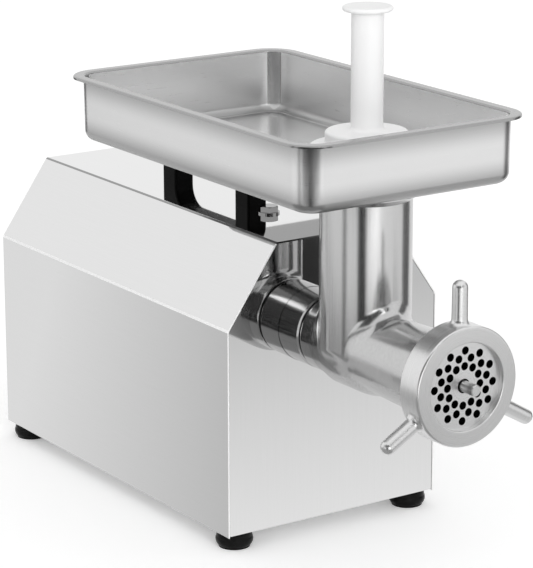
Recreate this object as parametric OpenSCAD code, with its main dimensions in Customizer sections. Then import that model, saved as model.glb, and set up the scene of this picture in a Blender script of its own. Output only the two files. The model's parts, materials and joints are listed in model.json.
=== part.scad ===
// Electric meat grinder: a folded stainless housing with an induction motor and a two-stage
// spur gearbox, a cast stainless mincing head, a feed pan and a plunger.
// X runs across the housing, the head points towards -Y, and Z is up from the bench.

/* [Housing] */
// Width of the housing across its upright sides
body_w = 230; // [220:1:260]
// Length of the housing from its front edge to its rear edge
body_l = 410; // [400:1:470]
// Height of the upright sides above the lower edge
side_h = 194; // [188:1:210]
// Rise of the sloped shoulders
shoulder_rise = 74; // [66:1:90]
// How far each shoulder leans in
shoulder_in = 52; // [44:1:56]
// Thickness of the stainless sheet
sheet = 1.5; // [1.2:0.1:2]
// Outside radius of the folds
fold_r = 3; // [2.5:0.5:5]
// Width of the folded-in flanges
flange_w = 14; // [12:1:16]
// Gap between a panel and the sheet round it
panel_gap = 0.3; // [0.2:0.05:0.5]
// How far the end panels sit back from the housing's edges
panel_set = 0.5; // [0.3:0.1:1]
// Thickness of the base plate
base_t = 2; // [1.5:0.5:3]

/* [Feet] */
// Height of a rubber foot below the housing
foot_h = 14; // [12:1:20]
// Largest diameter of a foot
foot_d = 34.5; // [30:0.5:36]
// Distance of a foot's centre from the housing's sides
foot_in = 17.5; // [16:0.5:22]
// Diameter of a foot's screw
foot_screw_d = 6; // [5:1:8]

/* [Carrying handle] */
// Length of the handle along the housing
grip_l = 150; // [130:1:160]
// Width of the handle across the housing
grip_w = 21; // [18:1:26]
// Height of the handle above the top
grip_h = 41; // [38:1:48]
// Thickness of the handle's bar
grip_bar = 15; // [12:1:18]
// Length of each post along the housing
grip_post = 23; // [18:1:26]
// Distance from the front edge to the middle of the handle
grip_y = 199; // [190:1:215]

/* [Top bolt] */
// Distance of the gearbox bolt from the front edge
top_bolt_y = 93; // [88:1:98]
// Size of the gearbox bolt across its flats
top_bolt_af = 16; // [13:1:18]
// Height of the bolt's head
top_bolt_k = 5.4; // [5:0.2:8]

/* [Neck] */
// Sideways offset of the head's axis from the middle of the housing
axis_x = -26; // [-30:1:-20]
// Height of the head's axis above the housing's lower edge
axis_up = 187; // [182:1:190]
// Wall of the neck round its socket
neck_wall = 5.5; // [5:0.5:7]
// Length of the neck in front of the housing
neck_l = 30; // [26:1:36]
// Diameter of the neck's socket
socket_d = 58; // [56:1:59]
// Width of the flange round the neck, behind the front panel
neck_flange_w = 18.5; // [17.5:0.5:19.5]
// Thickness of the flange behind the front panel
neck_flange_t = 9; // [8:0.5:10]
// Thickness of the seal between neck and head
seal_t = 2.2; // [1.5:0.1:3]

/* [Head] */
// Bore of the barrel
bore_d = 67; // [66:0.5:68]
// Wall of the barrel
barrel_wall = 3.2; // [2.8:0.1:4]
// Step from the barrel down to the collar that meets the neck
collar_step = 2.3; // [1.8:0.1:3]
// Length of the collar
collar_l = 16; // [12:1:18]
// Distance from the housing's front edge to the ring's front face
head_reach = 227.4; // [222:0.2:235]
// Wall of the threaded front flange round the plate's seat
thread_wall = 5; // [4.5:0.5:6]
// Length of the threaded front flange
thread_l = 25; // [23:1:28]
// Outside diameter of the feed tube
tube_d = 80.8; // [79:0.2:83]
// Wall of the feed tube
tube_wall = 2.9; // [2.4:0.1:3.4]
// Distance from the housing's front edge to the feed tube's axis
tube_reach = 83; // [78:1:88]
// Height of the feed tube's mouth above the head's axis
tube_up = 167; // [160:1:175]
// How far the rounded bulge hangs below the barrel
bulge_out = 1.2; // [0.6:0.1:3]
// Length of the spigot that slides into the neck
spigot_l = 41; // [38:1:42]
// Diameter of the worm's rear journal
journal_d = 36; // [32:1:38]

/* [Cutting set] */
// Diameter of the grinding plate
plate_d = 82; // [81.5:0.1:82.5]
// Thickness of the grinding plate
plate_t = 9; // [8:0.5:10]
// Diameter of a hole in the plate
hole_d = 7.2; // [5:0.2:7.6]
// Distance of the outer ring of holes from the plate's edge
hole_edge = 10.4; // [10:0.1:10.8]
// Step from the outer to the middle ring of holes
hole_step_out = 6.1; // [5.9:0.1:6.3]
// Step from the middle to the inner ring of holes
hole_step_in = 7.4; // [7.2:0.1:7.6]
// Number of holes in each ring
hole_count = 12; // [8:1:12]
// Turn of the hole pattern
hole_turn = -2; // [-6:1:6]
// Diameter of the worm's stud
stud_d = 10; // [9:0.5:11]
// Clearance of the plate's bore round the stud
stud_gap = 1.3; // [1.1:0.1:1.7]
// How far the stud stands out past the ring
stud_out = 12; // [8:0.5:14]
// Thickness of the knife
knife_t = 10.5; // [9:0.5:11]
// Clearance of the knife's blades inside the plate's seat
knife_gap = 1.7; // [1:0.1:4]
// Square drive of the knife across its flats
knife_sq = 14; // [13:0.5:15]

/* [Worm] */
// Clearance of the worm's flight in the bore
worm_gap = 0.8; // [0.5:0.1:1.2]
// Diameter of the worm's root at the rear
worm_root = 26; // [24:1:30]
// Diameter of the worm's root at the front
worm_root_front = 38; // [34:1:42]
// Number of turns of the flight
worm_turns = 3.4; // [2.5:0.1:4]
// How much closer the turns are at the front
worm_squeeze = 0.22; // [0:0.02:0.3]
// Square tang at the rear of the worm
tang_sq = 18; // [16:0.5:19]

/* [Ring] */
// Wall of the ring round the thread
ring_wall = 6.2; // [5.2:0.2:8]
// Length of the ring along its axis
ring_l = 24.8; // [22:0.2:25.6]
// How far the ring's lip laps over the plate's edge
ring_lap = 3; // [2.5:0.5:4]
// Thickness of the ring's front lip
ring_lip = 5; // [4:0.5:6]
// How far the ring's handles stand out
ring_arm_l = 37.3; // [32:0.5:42]
// Diameter of a ring handle
ring_arm_d = 13.8; // [12:0.2:15]
// Distance of the handles behind the ring's front face
ring_arm_set = 12; // [10:0.5:13]

/* [Feed pan] */
// Width of the pan over its rim
pan_w = 243; // [232:1:252]
// Length of the pan over its rim
pan_l = 391; // [370:1:410]
// Distance from the pan's front rim to the feed tube's axis
pan_front = 79.5; // [76:0.5:90]
// Depth of the pan
pan_depth = 61; // [56:1:66]
// Width of the pan's rim
rim_w = 10; // [8:0.5:12]
// Corner radius of the rim in plan
rim_r = 30; // [26:1:40]
// Radius between the pan's walls and its floor
pan_edge_r = 9; // [7:1:12]
// How much each wall leans out from floor to rim
pan_draft = 1.2; // [0.6:0.2:2]
// Thickness of the pan's sheet
pan_t = 1.5; // [1.2:0.1:2]
// How far the feed tube stands up inside the pan
tube_proud = 22.5; // [18:0.5:26]

/* [Plunger] */
// Clearance of the plunger in the feed tube
plunger_gap = 0.9; // [0.7:0.1:1.5]
// Length of the plunger below its guard
plunger_l = 95; // [80:1:110]
// How far the guard disc laps over the feed tube
guard_lap = 10.6; // [9:0.2:13]
// Thickness of the guard disc
guard_t = 12; // [10:0.5:14]
// Diameter of the hub above the guard
hub_d = 72; // [68:0.5:74]
// Height of the hub above the guard
hub_h = 13; // [10:0.5:16]
// Diameter of the plunger's stick
stick_d = 28; // [26:0.5:30]
// Height of the stick above the hub
stick_l = 107.4; // [95:0.5:115]
// How far the knob stands out round the stick
knob_lap = 7.8; // [6:0.2:10]
// Thickness of the knob's rim
knob_t = 4; // [3:0.5:6]
// Wall of the plunger's moulding
plunger_wall = 4; // [3:0.5:5]

/* [Gear train] */
// Teeth on the output gear
teeth_out = 45; // [44:1:46]
// Teeth on the intermediate pinion
teeth_mid_small = 17; // [17:1:18]
// Teeth on the intermediate gear
teeth_mid_big = 48; // [46:1:49]
// Teeth on the motor's pinion
teeth_motor = 16; // [16:1:17]
// Module of the output pair
module_slow = 2; // [1.95:0.05:2.05]
// Module of the motor pair
module_fast = 1.5; // [1.45:0.05:1.55]
// Backlash at the pitch circles
backlash = 0.3; // [0.2:0.05:0.4]

/* [Motor] */
// Outside diameter of the motor's shell
motor_d = 128; // [122:1:130]
// Length of the stator's laminations
stack_l = 108; // [80:1:125]
// Air gap between rotor and stator
air_gap = 0.4; // [0.3:0.05:0.6]
// Diameter of the motor's shaft
shaft_d = 20; // [18:1:22]
// Diameter of the capacitor
cap_d = 44; // [40:1:46]
// Length of the capacitor
cap_l = 92; // [80:1:100]

/* [Switches] */
// Distance from the front edge to the middle of the switch plate
switch_y = 112; // [105:1:125]
// Height of the switch plate's middle above the lower edge
switch_up = 112; // [100:1:125]
// Length of the switch plate along the housing
switch_l = 78; // [74:1:84]
// Height of the switch plate
switch_h = 46; // [42:1:50]
// Tilt of a rocker from its middle position
rocker_tilt = 8; // [6:1:9]
// Distance of the reset button behind the switch plate's middle
reset_dy = 62; // [58:1:70]
// Travel of the reset button
reset_travel = 2; // [1:0.5:2.5]

/* [Hidden] */
$fn = 64;
eps = 0.01;
run_gap = 0.05;   // radial clearance of a shaft that turns in its bore
slip_gap = 0.3;   // clearance between pieces that part or slide
past = 1;         // how far a cut runs past the faces it goes through

// Heights of the housing
z_edge = foot_h;
z_mid = z_edge + side_h;
z_top = z_mid + shoulder_rise;
axis_z = z_edge + axis_up;
half_w = body_w / 2;
slope_l = norm([shoulder_in, shoulder_rise]);
panel_t = sheet;
y_front_flange = panel_set + panel_t;
y_rear_flange = body_l - panel_set - panel_t - sheet;
z_base = z_edge + sheet;
z_inside = z_base + base_t;

// Stations along the head, counted from the housing's front edge
y_seal = -neck_l - seal_t;
y_ring = -head_reach;
y_plate = y_ring + ring_lip;
y_knife = y_plate + plate_t;
y_seat = y_knife + knife_t + slip_gap;
y_head = y_plate + panel_gap + 0.2;
y_flange = y_head + thread_l;
y_cone = y_flange + 5;
y_collar = y_seal - collar_l;
y_bore = y_collar - 3;
y_spigot = y_seal + spigot_l + seal_t;
tube_y = -tube_reach;
z_mouth = axis_z + tube_up;
z_pan = z_mouth - tube_proud;
z_rim = z_pan + pan_depth;

// Diameters that follow from the bores, walls and clearances
neck_d = socket_d + 2 * neck_wall;
neck_flange_d = neck_d + 2 * neck_flange_w;
barrel_d = bore_d + 2 * barrel_wall;
collar_d = barrel_d - 2 * collar_step;
thread_d = plate_d + 2 * thread_wall;
tube_bore = tube_d - 2 * tube_wall;
bulge_drop = barrel_d / 2 + bulge_out;
plate_bore = stud_d + 2 * stud_gap;
knife_r = plate_d / 2 - knife_gap;
worm_d = bore_d - 2 * worm_gap;
ring_d = thread_d + 2 * ring_wall;
ring_open = plate_d - 2 * ring_lap;
ring_arm_r = ring_d / 2 + ring_arm_l;
plunger_d = tube_bore - 2 * plunger_gap;
guard_d = tube_d + 2 * guard_lap;
knob_d = stick_d + 2 * knob_lap;

// Plunger
z_guard = z_mouth + slip_gap;
z_hub = z_guard + guard_t + hub_h;
z_knob = z_hub + stick_l;
z_plunger = z_guard - plunger_l;

// Gear train: centres in the XZ plane and stations along Y
slow_gap = module_slow * (teeth_out + teeth_mid_small) / 2;
fast_gap = module_fast * (teeth_mid_big + teeth_motor) / 2;
mid_dir = -70;
motor_dir = -80;
out_c = [axis_x, axis_z];
mid_c = out_c + slow_gap * [cos(mid_dir), sin(mid_dir)];
motor_c = mid_c + fast_gap * [cos(motor_dir), sin(motor_dir)];
addendum = 0.9;
dedendum = 1.25;
out_tip = module_slow * (teeth_out / 2 + addendum);
mid_tip = module_fast * (teeth_mid_big / 2 + addendum);
case_wall = 6;
case_gap = 5;
y_neck_back = y_front_flange + panel_gap + neck_flange_t;
y_cover = y_neck_back;
cover_t = 10;
y_case = y_cover + cover_t;
out_bearing = [40, 80, 18];
out_bearing_2 = [25, 52, 12];
mid_bearing = [15, 35, 11];
motor_bearing = [shaft_d, shaft_d + 27, 14];
y_bearing = y_cover + 4;
y_slow = y_bearing + out_bearing[2] + 2;
slow_w = 24;
y_fast = y_slow + slow_w + 5;
fast_w = 14;
y_wall = y_fast + fast_w + 2;
y_case_end = y_wall + 15;
out_shaft_r = out_bearing[0] / 2;
seal_w = 9;

// Motor stations
motor_r = motor_d / 2;
shell_t = 3;
bell_t = 20;
coil_l = 13;
y_bell = y_case_end;
y_shell = y_bell + bell_t;
y_stack = y_shell + coil_l + 2;
y_shell_end = y_stack + stack_l + coil_l + 2;
y_bell_end = y_shell_end + bell_t;
y_fan = y_bell_end + 8;
fan_w = 22;
fan_cup = fan_w + 20;
stator_r = motor_r - shell_t - run_gap;
rotor_r = 0.56 * motor_r;

// The origin stands under the middle of the whole machine's outline
x_low = axis_x - pan_w / 2;
rocker_in = 8;
rocker_face = 13.5;
rocker_half = 12.5;
switch_proud = rocker_face * cos(rocker_tilt) + rocker_half * sin(rocker_tilt) - rocker_in;
x_high = half_w + switch_proud;
gland_proud = 21;
y_low = y_ring - stud_out;
y_high = body_l - panel_set + gland_proud;
x_middle = (x_low + x_high) / 2;
y_middle = (y_low + y_high) / 2;

// ---------- shared shapes ----------

module placed() {
    translate([-x_middle, -y_middle, 0]) children();
}

// A flat shape drawn in X and Z, given its length along Y
module along_y(y0, y1) {
    translate([0, y1, 0]) rotate([90, 0, 0]) linear_extrude(y1 - y0) children();
}

module rod_y(c, y0, y1, r) {
    translate([c[0], y1, c[1]]) rotate([90, 0, 0]) cylinder(r = r, h = y1 - y0);
}

module rod_x(y, z, x0, x1, r) {
    translate([x0, y, z]) rotate([0, 90, 0]) cylinder(r = r, h = x1 - x0);
}

module rod_z(c, z0, z1, r) {
    translate([c[0], c[1], z0]) cylinder(r = r, h = z1 - z0);
}

module ring_y(c, y0, y1, r_in, r_out) {
    difference() {
        rod_y(c, y0, y1, r_out);
        rod_y(c, y0 - 1, y1 + 1, r_in);
    }
}

// A turned piece on an axis along Y, from a list of [radius, y]
module turned_y(c, outline) {
    translate([c[0], 0, c[1]]) rotate([90, 0, 0]) rotate_extrude()
        polygon([for (p = outline) [p[0], -p[1]]]);
}

// A turned piece on an upright axis, from a list of [radius, z]
module turned_z(c, outline) {
    translate([c[0], c[1], 0]) rotate_extrude() polygon(outline);
}

// The points of an arc that rounds the corner b between a and c
function corner_arc(a, b, c, r, n) =
    let (u = (a - b) / norm(a - b),
         v = (c - b) / norm(c - b),
         half = acos(u * v) / 2,
         mid = b + (u + v) / norm(u + v) * r / sin(half),
         from = b + u * r / tan(half) - mid,
         to = b + v * r / tan(half) - mid,
         a0 = atan2(from[1], from[0]),
         turn = (atan2(to[1], to[0]) - a0 + 540) % 360 - 180)
    [for (i = [0 : n]) mid + r * [cos(a0 + turn * i / n), sin(a0 + turn * i / n)]];

// A closed outline with every corner rounded by its own radius
function rounded(points, radii, n = 4) =
    let (m = len(points))
    [for (i = [0 : m - 1], p = corner_arc(points[(i + m - 1) % m], points[i],
                                          points[(i + 1) % m], radii[i], n)) p];

// The housing's cross-section, drawn in by a distance
function section(inset) =
    let (w = half_w - inset,
         zm = z_mid - inset * (slope_l - shoulder_rise) / shoulder_in,
         zt = z_top - inset,
         wt = half_w - shoulder_in - inset * (slope_l - shoulder_in) / shoulder_rise,
         zb = z_edge + inset)
    [[-w, zb], [w, zb], [w, zm], [wt, zt], [-wt, zt], [-w, zm]];

module section_shape(inset) {
    r = max(fold_r - inset, 0.6);
    polygon(rounded(section(inset), [r, r, r, r, r, r]));
}

// ---------- gears ----------

function involute(a) = tan(a) * 180 / PI - a;

// Half the angle of a tooth at radius r
function tooth_half(teeth, m, r) =
    let (rp = m * teeth / 2, rb = rp * cos(20))
    90 / teeth - backlash / 4 / rp * 180 / PI
    + involute(20) - involute(acos(min(1, rb / r)));

// A spur gear with a tooth on the angle "turn"
module gear_shape(teeth, m, turn) {
    rp = m * teeth / 2;
    rf = rp - dedendum * m;
    ra = rp + addendum * m;
    rs = max(rf + 0.05, rp * cos(20) + 0.02);
    flank = [rf, for (k = [0 : 3]) rs + (ra - rs) * k / 3];
    polygon([for (i = [0 : teeth - 1], p = concat(
        [for (r = flank) [r, -tooth_half(teeth, m, max(r, rs))]],
        [for (k = [len(flank) - 1 : -1 : 0]) [flank[k], tooth_half(teeth, m, max(flank[k], rs))]]))
        let (a = turn + 360 * i / teeth + p[1]) p[0] * [cos(a), sin(a)]]);
}

// ---------- housing ----------

rear_screw_r = 2;
rear_screw_l = 5.5;
grip_screw_r = 2.5;
top_bolt_r = 5;

// One sheet folded round the sides, shoulders and top, with flanges at both ends and below
module housing_wrap() {
    placed() color([0.86, 0.87, 0.88]) difference() {
        union() {
            along_y(0, body_l) difference() {
                section_shape(0);
                section_shape(sheet);
            }
            for (y = [y_front_flange, y_rear_flange])
                along_y(y, y + sheet) difference() {
                    section_shape(sheet - eps);
                    section_shape(sheet + flange_w);
                }
        }
        // opening of the bottom between its flanges
        translate([-half_w + sheet + flange_w, y_front_flange + sheet + flange_w, z_edge - 1])
            cube([body_w - 2 * (sheet + flange_w),
                  y_rear_flange - y_front_flange - sheet - 2 * flange_w, sheet + 2]);
        translate([-half_w - 1, -1, z_edge - 1])
            cube([body_w + 2, y_front_flange + 1, sheet + 1 + panel_gap]);
        translate([-half_w - 1, y_rear_flange + sheet, z_edge - 1])
            cube([body_w + 2, y_front_flange + 1, sheet + 1 + panel_gap]);
        foot_screw_holes(z_edge - 1, z_base + 1);
        for (p = rear_screw_points())
            rod_y(p, y_rear_flange - past, y_rear_flange + sheet + past, rear_screw_r + run_gap);
        // windows for the switches, the reset button and the bolts on the top
        translate([half_w - sheet - 1, switch_y - switch_cut_l / 2, switch_z - switch_cut_h / 2])
            cube([sheet + 2, switch_cut_l, switch_cut_h]);
        rod_x(switch_y + reset_dy, switch_z, half_w - sheet - 1, half_w + 1, reset_r + slip_gap);
        for (y = grip_screw_y())
            rod_z([0, y], z_top - sheet - past, z_top + past, grip_screw_r + 0.2);
        rod_z([top_bolt_x, top_bolt_y], z_top - sheet - past, z_top + past, top_bolt_r + slip_gap);
    }
}

module front_panel() {
    placed() color([0.80, 0.81, 0.82]) difference() {
        along_y(panel_set, panel_set + panel_t) difference() {
            panel_shape();
            translate(out_c) circle(r = neck_d / 2 + slip_gap);
        }
    }
}

// The flat shape of an end panel, which reaches down to the lower edge
module panel_shape() {
    difference() {
        section_shape(sheet + panel_gap);
        translate([-half_w, z_edge - 1]) square([body_w, 1 + panel_gap]);
    }
}

function rear_screw_points() =
    let (w = half_w - sheet - flange_w / 2, zt = z_top - sheet - flange_w / 2)
    [for (s = [-1, 1]) each [[s * w, z_edge + rear_screw_low], [s * w, z_edge + side_h / 2],
                             [s * w, z_mid - rear_screw_high], [s * (half_w - shoulder_in) / 2, zt]]];

rear_screw_low = 40;
rear_screw_high = 20;
louvre_n = 7;
louvre_l = 62;
louvre_x = 46;
louvre_up = 92;
louvre_step = 15;
louvre_h = 7;
louvre_out = 4;
louvre_slot = 4.5;

// One pressed louvre: a hood over a slot, open downwards
module louvre_hood(x, z) {
    translate([x - louvre_l / 2, body_l - panel_set - panel_t / 2, z]) rotate([90, 0, 90])
        linear_extrude(louvre_l)
            polygon([[0, louvre_h], [panel_t / 2, louvre_h], [panel_t / 2 + louvre_out, 1.5],
                     [panel_t / 2 + louvre_out, 0], [panel_t / 2 + louvre_out - 1.2, 0],
                     [panel_t / 2 + louvre_out - 1.2, 1.2], [panel_t / 2, louvre_h - 2],
                     [0, louvre_h - 2]]);
}

module rear_panel() {
    placed() color([0.84, 0.85, 0.86]) difference() {
        union() {
            along_y(body_l - panel_set - panel_t, body_l - panel_set) difference() {
                panel_shape();
                for (p = rear_screw_points())
                    translate(p) circle(r = rear_screw_r + slip_gap);
                for (s = [-1, 1], i = [0 : louvre_n - 1])
                    translate([s * louvre_x - louvre_l / 2 + 1, louvre_z(i) + 0.5])
                        square([louvre_l - 2, louvre_slot]);
                translate(gland_c) circle(r = gland_thread_r + slip_gap);
            }
            for (s = [-1, 1], i = [0 : louvre_n - 1])
                louvre_hood(s * louvre_x, louvre_z(i));
        }
    }
}

function louvre_z(i) = z_edge + louvre_up + i * louvre_step;

vent_n = 7;
vent_l = 52;
vent_w = 5;
vent_x = 52;
vent_step = 13;
vent_back = -10;

module base_plate() {
    w = body_w - 2 * (fold_r + panel_gap);
    l = y_rear_flange - y_front_flange - sheet - 2 * panel_gap;
    y0 = y_front_flange + sheet + panel_gap;
    placed() color([0.72, 0.73, 0.74]) difference() {
        translate([-w / 2, y0, z_base]) cube([w, l, base_t]);
        foot_screw_holes(z_base - 1, z_inside + 1);
        // two fields of cooling slots under the motor
        for (s = [-1, 1], i = [0 : vent_n - 1])
            translate([s * vent_x - vent_l / 2, y_stack + vent_back + i * vent_step, z_base - past])
                cube([vent_l, vent_w, base_t + 2 * past]);
        for (y = motor_foot_y(), s = [-1, 1])
            rod_z([motor_c[0] + s * motor_foot_x, y], z_base - past, z_inside + past, motor_hole_r);
    }
}

// ---------- feet ----------

function foot_points() = [[-half_w + foot_in, foot_in], [half_w - foot_in, foot_in],
                          [-half_w + foot_in, body_l - foot_in],
                          [half_w - foot_in, body_l - foot_in]];

module foot_screw_holes(z0, z1) {
    for (p = foot_points())
        rod_z(p, z0, z1, foot_screw_d / 2 + foot_screw_gap);
}

foot_recess = 5;
foot_screw_gap = 0.15;
foot_nut_t = 5;
foot_screw_past = 9;

// A turned rubber foot with a rounded side and a recess for its screw
module foot(p) {
    r = foot_d / 2;
    h = foot_h;
    round_r = h * 0.42;
    bore = foot_screw_d / 2 + foot_screw_gap;
    side = [for (a = [-60 : 15 : 40]) [r - round_r + round_r * cos(a),
                                       h * 0.5 + round_r * sin(a) * (a < 0 ? 1.15 : 1)]];
    placed() color([0.06, 0.06, 0.06]) turned_z(p, concat(
        [[foot_screw_d, foot_recess], [foot_screw_d, 0], [r * 0.84, 0]], side,
        [[r * 0.93, h], [bore, h], [bore, foot_recess]]));
}

module foot_screws() {
    r = foot_screw_d / 2;
    placed() color([0.7, 0.7, 0.72]) for (p = foot_points()) {
        turned_z(p, [[0, 1.5], [r * 1.6, 1.5], [r * 1.75, 2.3], [r * 1.75, foot_recess],
                     [r, foot_recess], [r, z_inside + foot_screw_past],
                     [0, z_inside + foot_screw_past]]);
        translate([p[0], p[1], z_inside]) difference() {
            cylinder(d = foot_screw_d * 1.9, h = foot_nut_t, $fn = 6);
            translate([0, 0, -past]) cylinder(r = r + eps, h = foot_nut_t + 2 * past);
        }
    }
}

module rear_panel_screws() {
    y1 = body_l - panel_set;
    r = rear_screw_r;
    placed() color([0.75, 0.75, 0.77]) for (p = rear_screw_points())
        turned_y(p, [[0, y1 + 2.4], [r * 1.1, y1 + 2.4], [r * 1.7, y1 + 1.7], [r * 1.9, y1 + 0.6],
                     [r * 1.9, y1], [r, y1], [r, y1 - rear_screw_l - panel_t],
                     [0, y1 - rear_screw_l - panel_t]]);
}

// ---------- handle and top bolt ----------

function grip_screw_y() = [grip_y - grip_l / 2 + grip_post / 2, grip_y + grip_l / 2 - grip_post / 2];

grip_screw_in = 13;
grip_screw_head_r = 4.8;
grip_screw_head_t = 3.4;

// A moulded bridge handle: rounded at its ends and inside its opening
module carry_handle() {
    y0 = grip_y - grip_l / 2;
    y1 = grip_y + grip_l / 2;
    out_r = grip_h / 2;
    in_r = min(14, grip_h - grip_bar - 2);
    shape = concat(
        [[y0, z_top]],
        corner_arc([y0, z_top], [y0, z_top + grip_h], [y1, z_top + grip_h], out_r, 8),
        corner_arc([y0, z_top + grip_h], [y1, z_top + grip_h], [y1, z_top], out_r, 8),
        [[y1, z_top], [y1 - grip_post, z_top]],
        corner_arc([y1 - grip_post, z_top], [y1 - grip_post, z_top + grip_h - grip_bar],
                   [y0 + grip_post, z_top + grip_h - grip_bar], in_r, 6),
        corner_arc([y1 - grip_post, z_top + grip_h - grip_bar],
                   [y0 + grip_post, z_top + grip_h - grip_bar],
                   [y0 + grip_post, z_top], in_r, 6),
        [[y0 + grip_post, z_top]]);
    placed() color([0.08, 0.08, 0.08]) difference() {
        translate([-grip_w / 2, 0, 0]) rotate([90, 0, 90]) linear_extrude(grip_w) polygon(shape);
        for (y = grip_screw_y())
            rod_z([0, y], z_top - past, z_top + grip_screw_in + 3, grip_screw_r + 0.1);
    }
}

module handle_screws() {
    z0 = z_top - sheet;
    r = grip_screw_head_r;
    placed() color([0.7, 0.7, 0.72]) for (y = grip_screw_y())
        turned_z([0, y], [[0, z0 - grip_screw_head_t], [r - 0.4, z0 - grip_screw_head_t],
                          [r, z0 - grip_screw_head_t + 0.8], [r, z0], [grip_screw_r, z0],
                          [grip_screw_r, z_top + grip_screw_in], [0, z_top + grip_screw_in]]);
}

top_bolt_x = -8;
bolt_washer_t = 1.6;

// The hexagon bolt and washer that steady the gearbox from above
top_washer_r = top_bolt_af * 0.62;
bolt_slip = 0.2;
bolt_end_gap = 2;

module top_bolt() {
    c = [top_bolt_x, top_bolt_y];
    z0 = z_top + bolt_washer_t;
    z1 = z0 + top_bolt_k;
    face_r = top_bolt_af * 0.47;
    corner_r = top_bolt_af * 0.66;
    chamfer = 1;
    over = 0.4;
    placed() color([0.85, 0.85, 0.87]) {
        difference() {
            rod_z(c, z_top, z0, top_washer_r);
            rod_z(c, z_top - past, z0 + past, top_bolt_r + bolt_slip);
        }
        difference() {
            translate([c[0], c[1], z0]) cylinder(d = top_bolt_af / cos(30), h = top_bolt_k, $fn = 6);
            // the chamfer that a turned hexagon has at its corners
            turned_z(c, [[face_r, z1 + over], [face_r, z1], [corner_r, z1 - chamfer], [corner_r, z1 + over]]);
        }
        rod_z(c, z_lug + lug_floor + bolt_end_gap, z0 + eps, top_bolt_r);
    }
}

// ---------- inlet, switches ----------

gland_c = [70, z_edge + 44];
gland_thread_r = 8;
gland_bore = 10;
gland_af = 24;
gland_hex_t = 7;
gland_nut_t = 5;
gland_thread_l = 12;

// The cord inlet: a hexagon body, a round cap and a locknut inside
module cable_gland() {
    y = body_l - panel_set;
    placed() color([0.1, 0.1, 0.1]) difference() {
        union() {
            translate([gland_c[0], y, gland_c[1]]) rotate([-90, 0, 0])
                cylinder(d = gland_af, h = gland_hex_t, $fn = 6);
            turned_y(gland_c, [[0, y + gland_hex_t], [9.6, y + gland_hex_t], [9.6, y + 14],
                               [8.4, y + gland_proud - 2.5], [6.6, y + gland_proud],
                               [0, y + gland_proud]]);
            rod_y(gland_c, y - panel_t - gland_thread_l, y + eps, gland_thread_r);
            translate([gland_c[0], y - panel_t - gland_nut_t, gland_c[1]]) rotate([-90, 0, 0])
                cylinder(d = gland_af - 1, h = gland_nut_t, $fn = 6);
        }
        rod_y(gland_c, y - panel_t - gland_thread_l - past, y + gland_proud + past, gland_bore / 2);
    }
}

switch_z = z_edge + switch_up;
switch_lap = 5;
switch_cut_l = switch_l - 2 * switch_lap - 2;
switch_cut_h = switch_h - 2 * switch_lap;
rocker_l = 24;
rocker_h = 2 * (rocker_half + 1.5);
rocker_dy = 18;
switch_plate_t = 3;
switch_deep = 24;
rocker_well = 16;

module switch_plate() {
    placed() color([0.12, 0.12, 0.12]) difference() {
        union() {
            // face plate with rounded corners
            translate([half_w, switch_y, switch_z]) rotate([90, 0, 90])
                linear_extrude(switch_plate_t) polygon(rounded(
                    [[-switch_l / 2, -switch_h / 2], [switch_l / 2, -switch_h / 2],
                     [switch_l / 2, switch_h / 2], [-switch_l / 2, switch_h / 2]],
                    [switch_lap, switch_lap, switch_lap, switch_lap]));
            translate([half_w - switch_deep, switch_y - switch_cut_l / 2 + slip_gap,
                       switch_z - switch_cut_h / 2 + slip_gap])
                cube([switch_deep + eps, switch_cut_l - 2 * slip_gap, switch_cut_h - 2 * slip_gap]);
        }
        for (s = [-1, 1])
            translate([half_w - rocker_well, switch_y + s * rocker_dy - rocker_l / 2 - slip_gap,
                       switch_z - rocker_h / 2 - slip_gap])
                cube([rocker_well + switch_plate_t + past, rocker_l + 2 * slip_gap, rocker_h + 2 * slip_gap]);
    }
}

// A rocker: a hollow-faced key on a pivot along Y, resting on its lower side
module rocker(y) {
    placed() translate([half_w - rocker_in, y, switch_z]) rotate([0, -rocker_tilt, 0])
        rotate([90, 0, 0]) translate([0, 0, -rocker_l / 2]) linear_extrude(rocker_l)
            polygon(concat([[-4, -5], [2, -rocker_half]],
                [for (a = [-1 : 0.25 : 1]) [rocker_face - 2.2 * (1 - a * a), a * rocker_half]],
                [[2, rocker_half], [-4, 5]]));
}

module power_rocker() { color([0.05, 0.45, 0.18]) rocker(switch_y - rocker_dy); }

module reverse_rocker() { color([0.07, 0.07, 0.07]) rocker(switch_y + rocker_dy); }

reset_r = 6;
reset_pin_r = 4;
reset_lip = 2.5;
reset_well = 14;
reset_proud = 6.2;
reset_body = [22, 18, 26];
reset_c = switch_y + reset_dy;

// The threaded collar of the overload switch, with its body inside the housing
module reset_collar() {
    placed() color([0.1, 0.1, 0.1]) difference() {
        union() {
            rod_x(reset_c, switch_z, half_w, half_w + reset_lip, reset_r + 3);
            rod_x(reset_c, switch_z, half_w - reset_well + 2, half_w + eps, reset_r);
            translate([half_w - reset_well + 2 - reset_body[0], reset_c - reset_body[1] / 2,
                       switch_z - reset_body[2] / 2]) cube(reset_body);
        }
        rod_x(reset_c, switch_z, half_w - reset_well, half_w + reset_lip + past,
              reset_pin_r + slip_gap);
    }
}

module reset_button() {
    x0 = half_w - reset_well + reset_travel + slip_gap;
    x1 = half_w + reset_proud;
    placed() color([0.75, 0.08, 0.06]) union() {
        rod_x(reset_c, switch_z, x0, x1 - 0.8, reset_pin_r);
        rod_x(reset_c, switch_z, x1 - 0.8 - eps, x1, reset_pin_r - 0.8);
    }
}

// ---------- neck ----------

neck_bolt_d = 6;
neck_bolt_head_r = 4.9;
neck_bolt_head_t = 5;
neck_bolt_in = 9;
neck_bolt_r = neck_flange_d / 2 - neck_bolt_head_r - 1.6;

function neck_bolt_points() = [for (a = [45, 135, 225, 315])
                               out_c + neck_bolt_r * [cos(a), sin(a)]];

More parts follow.
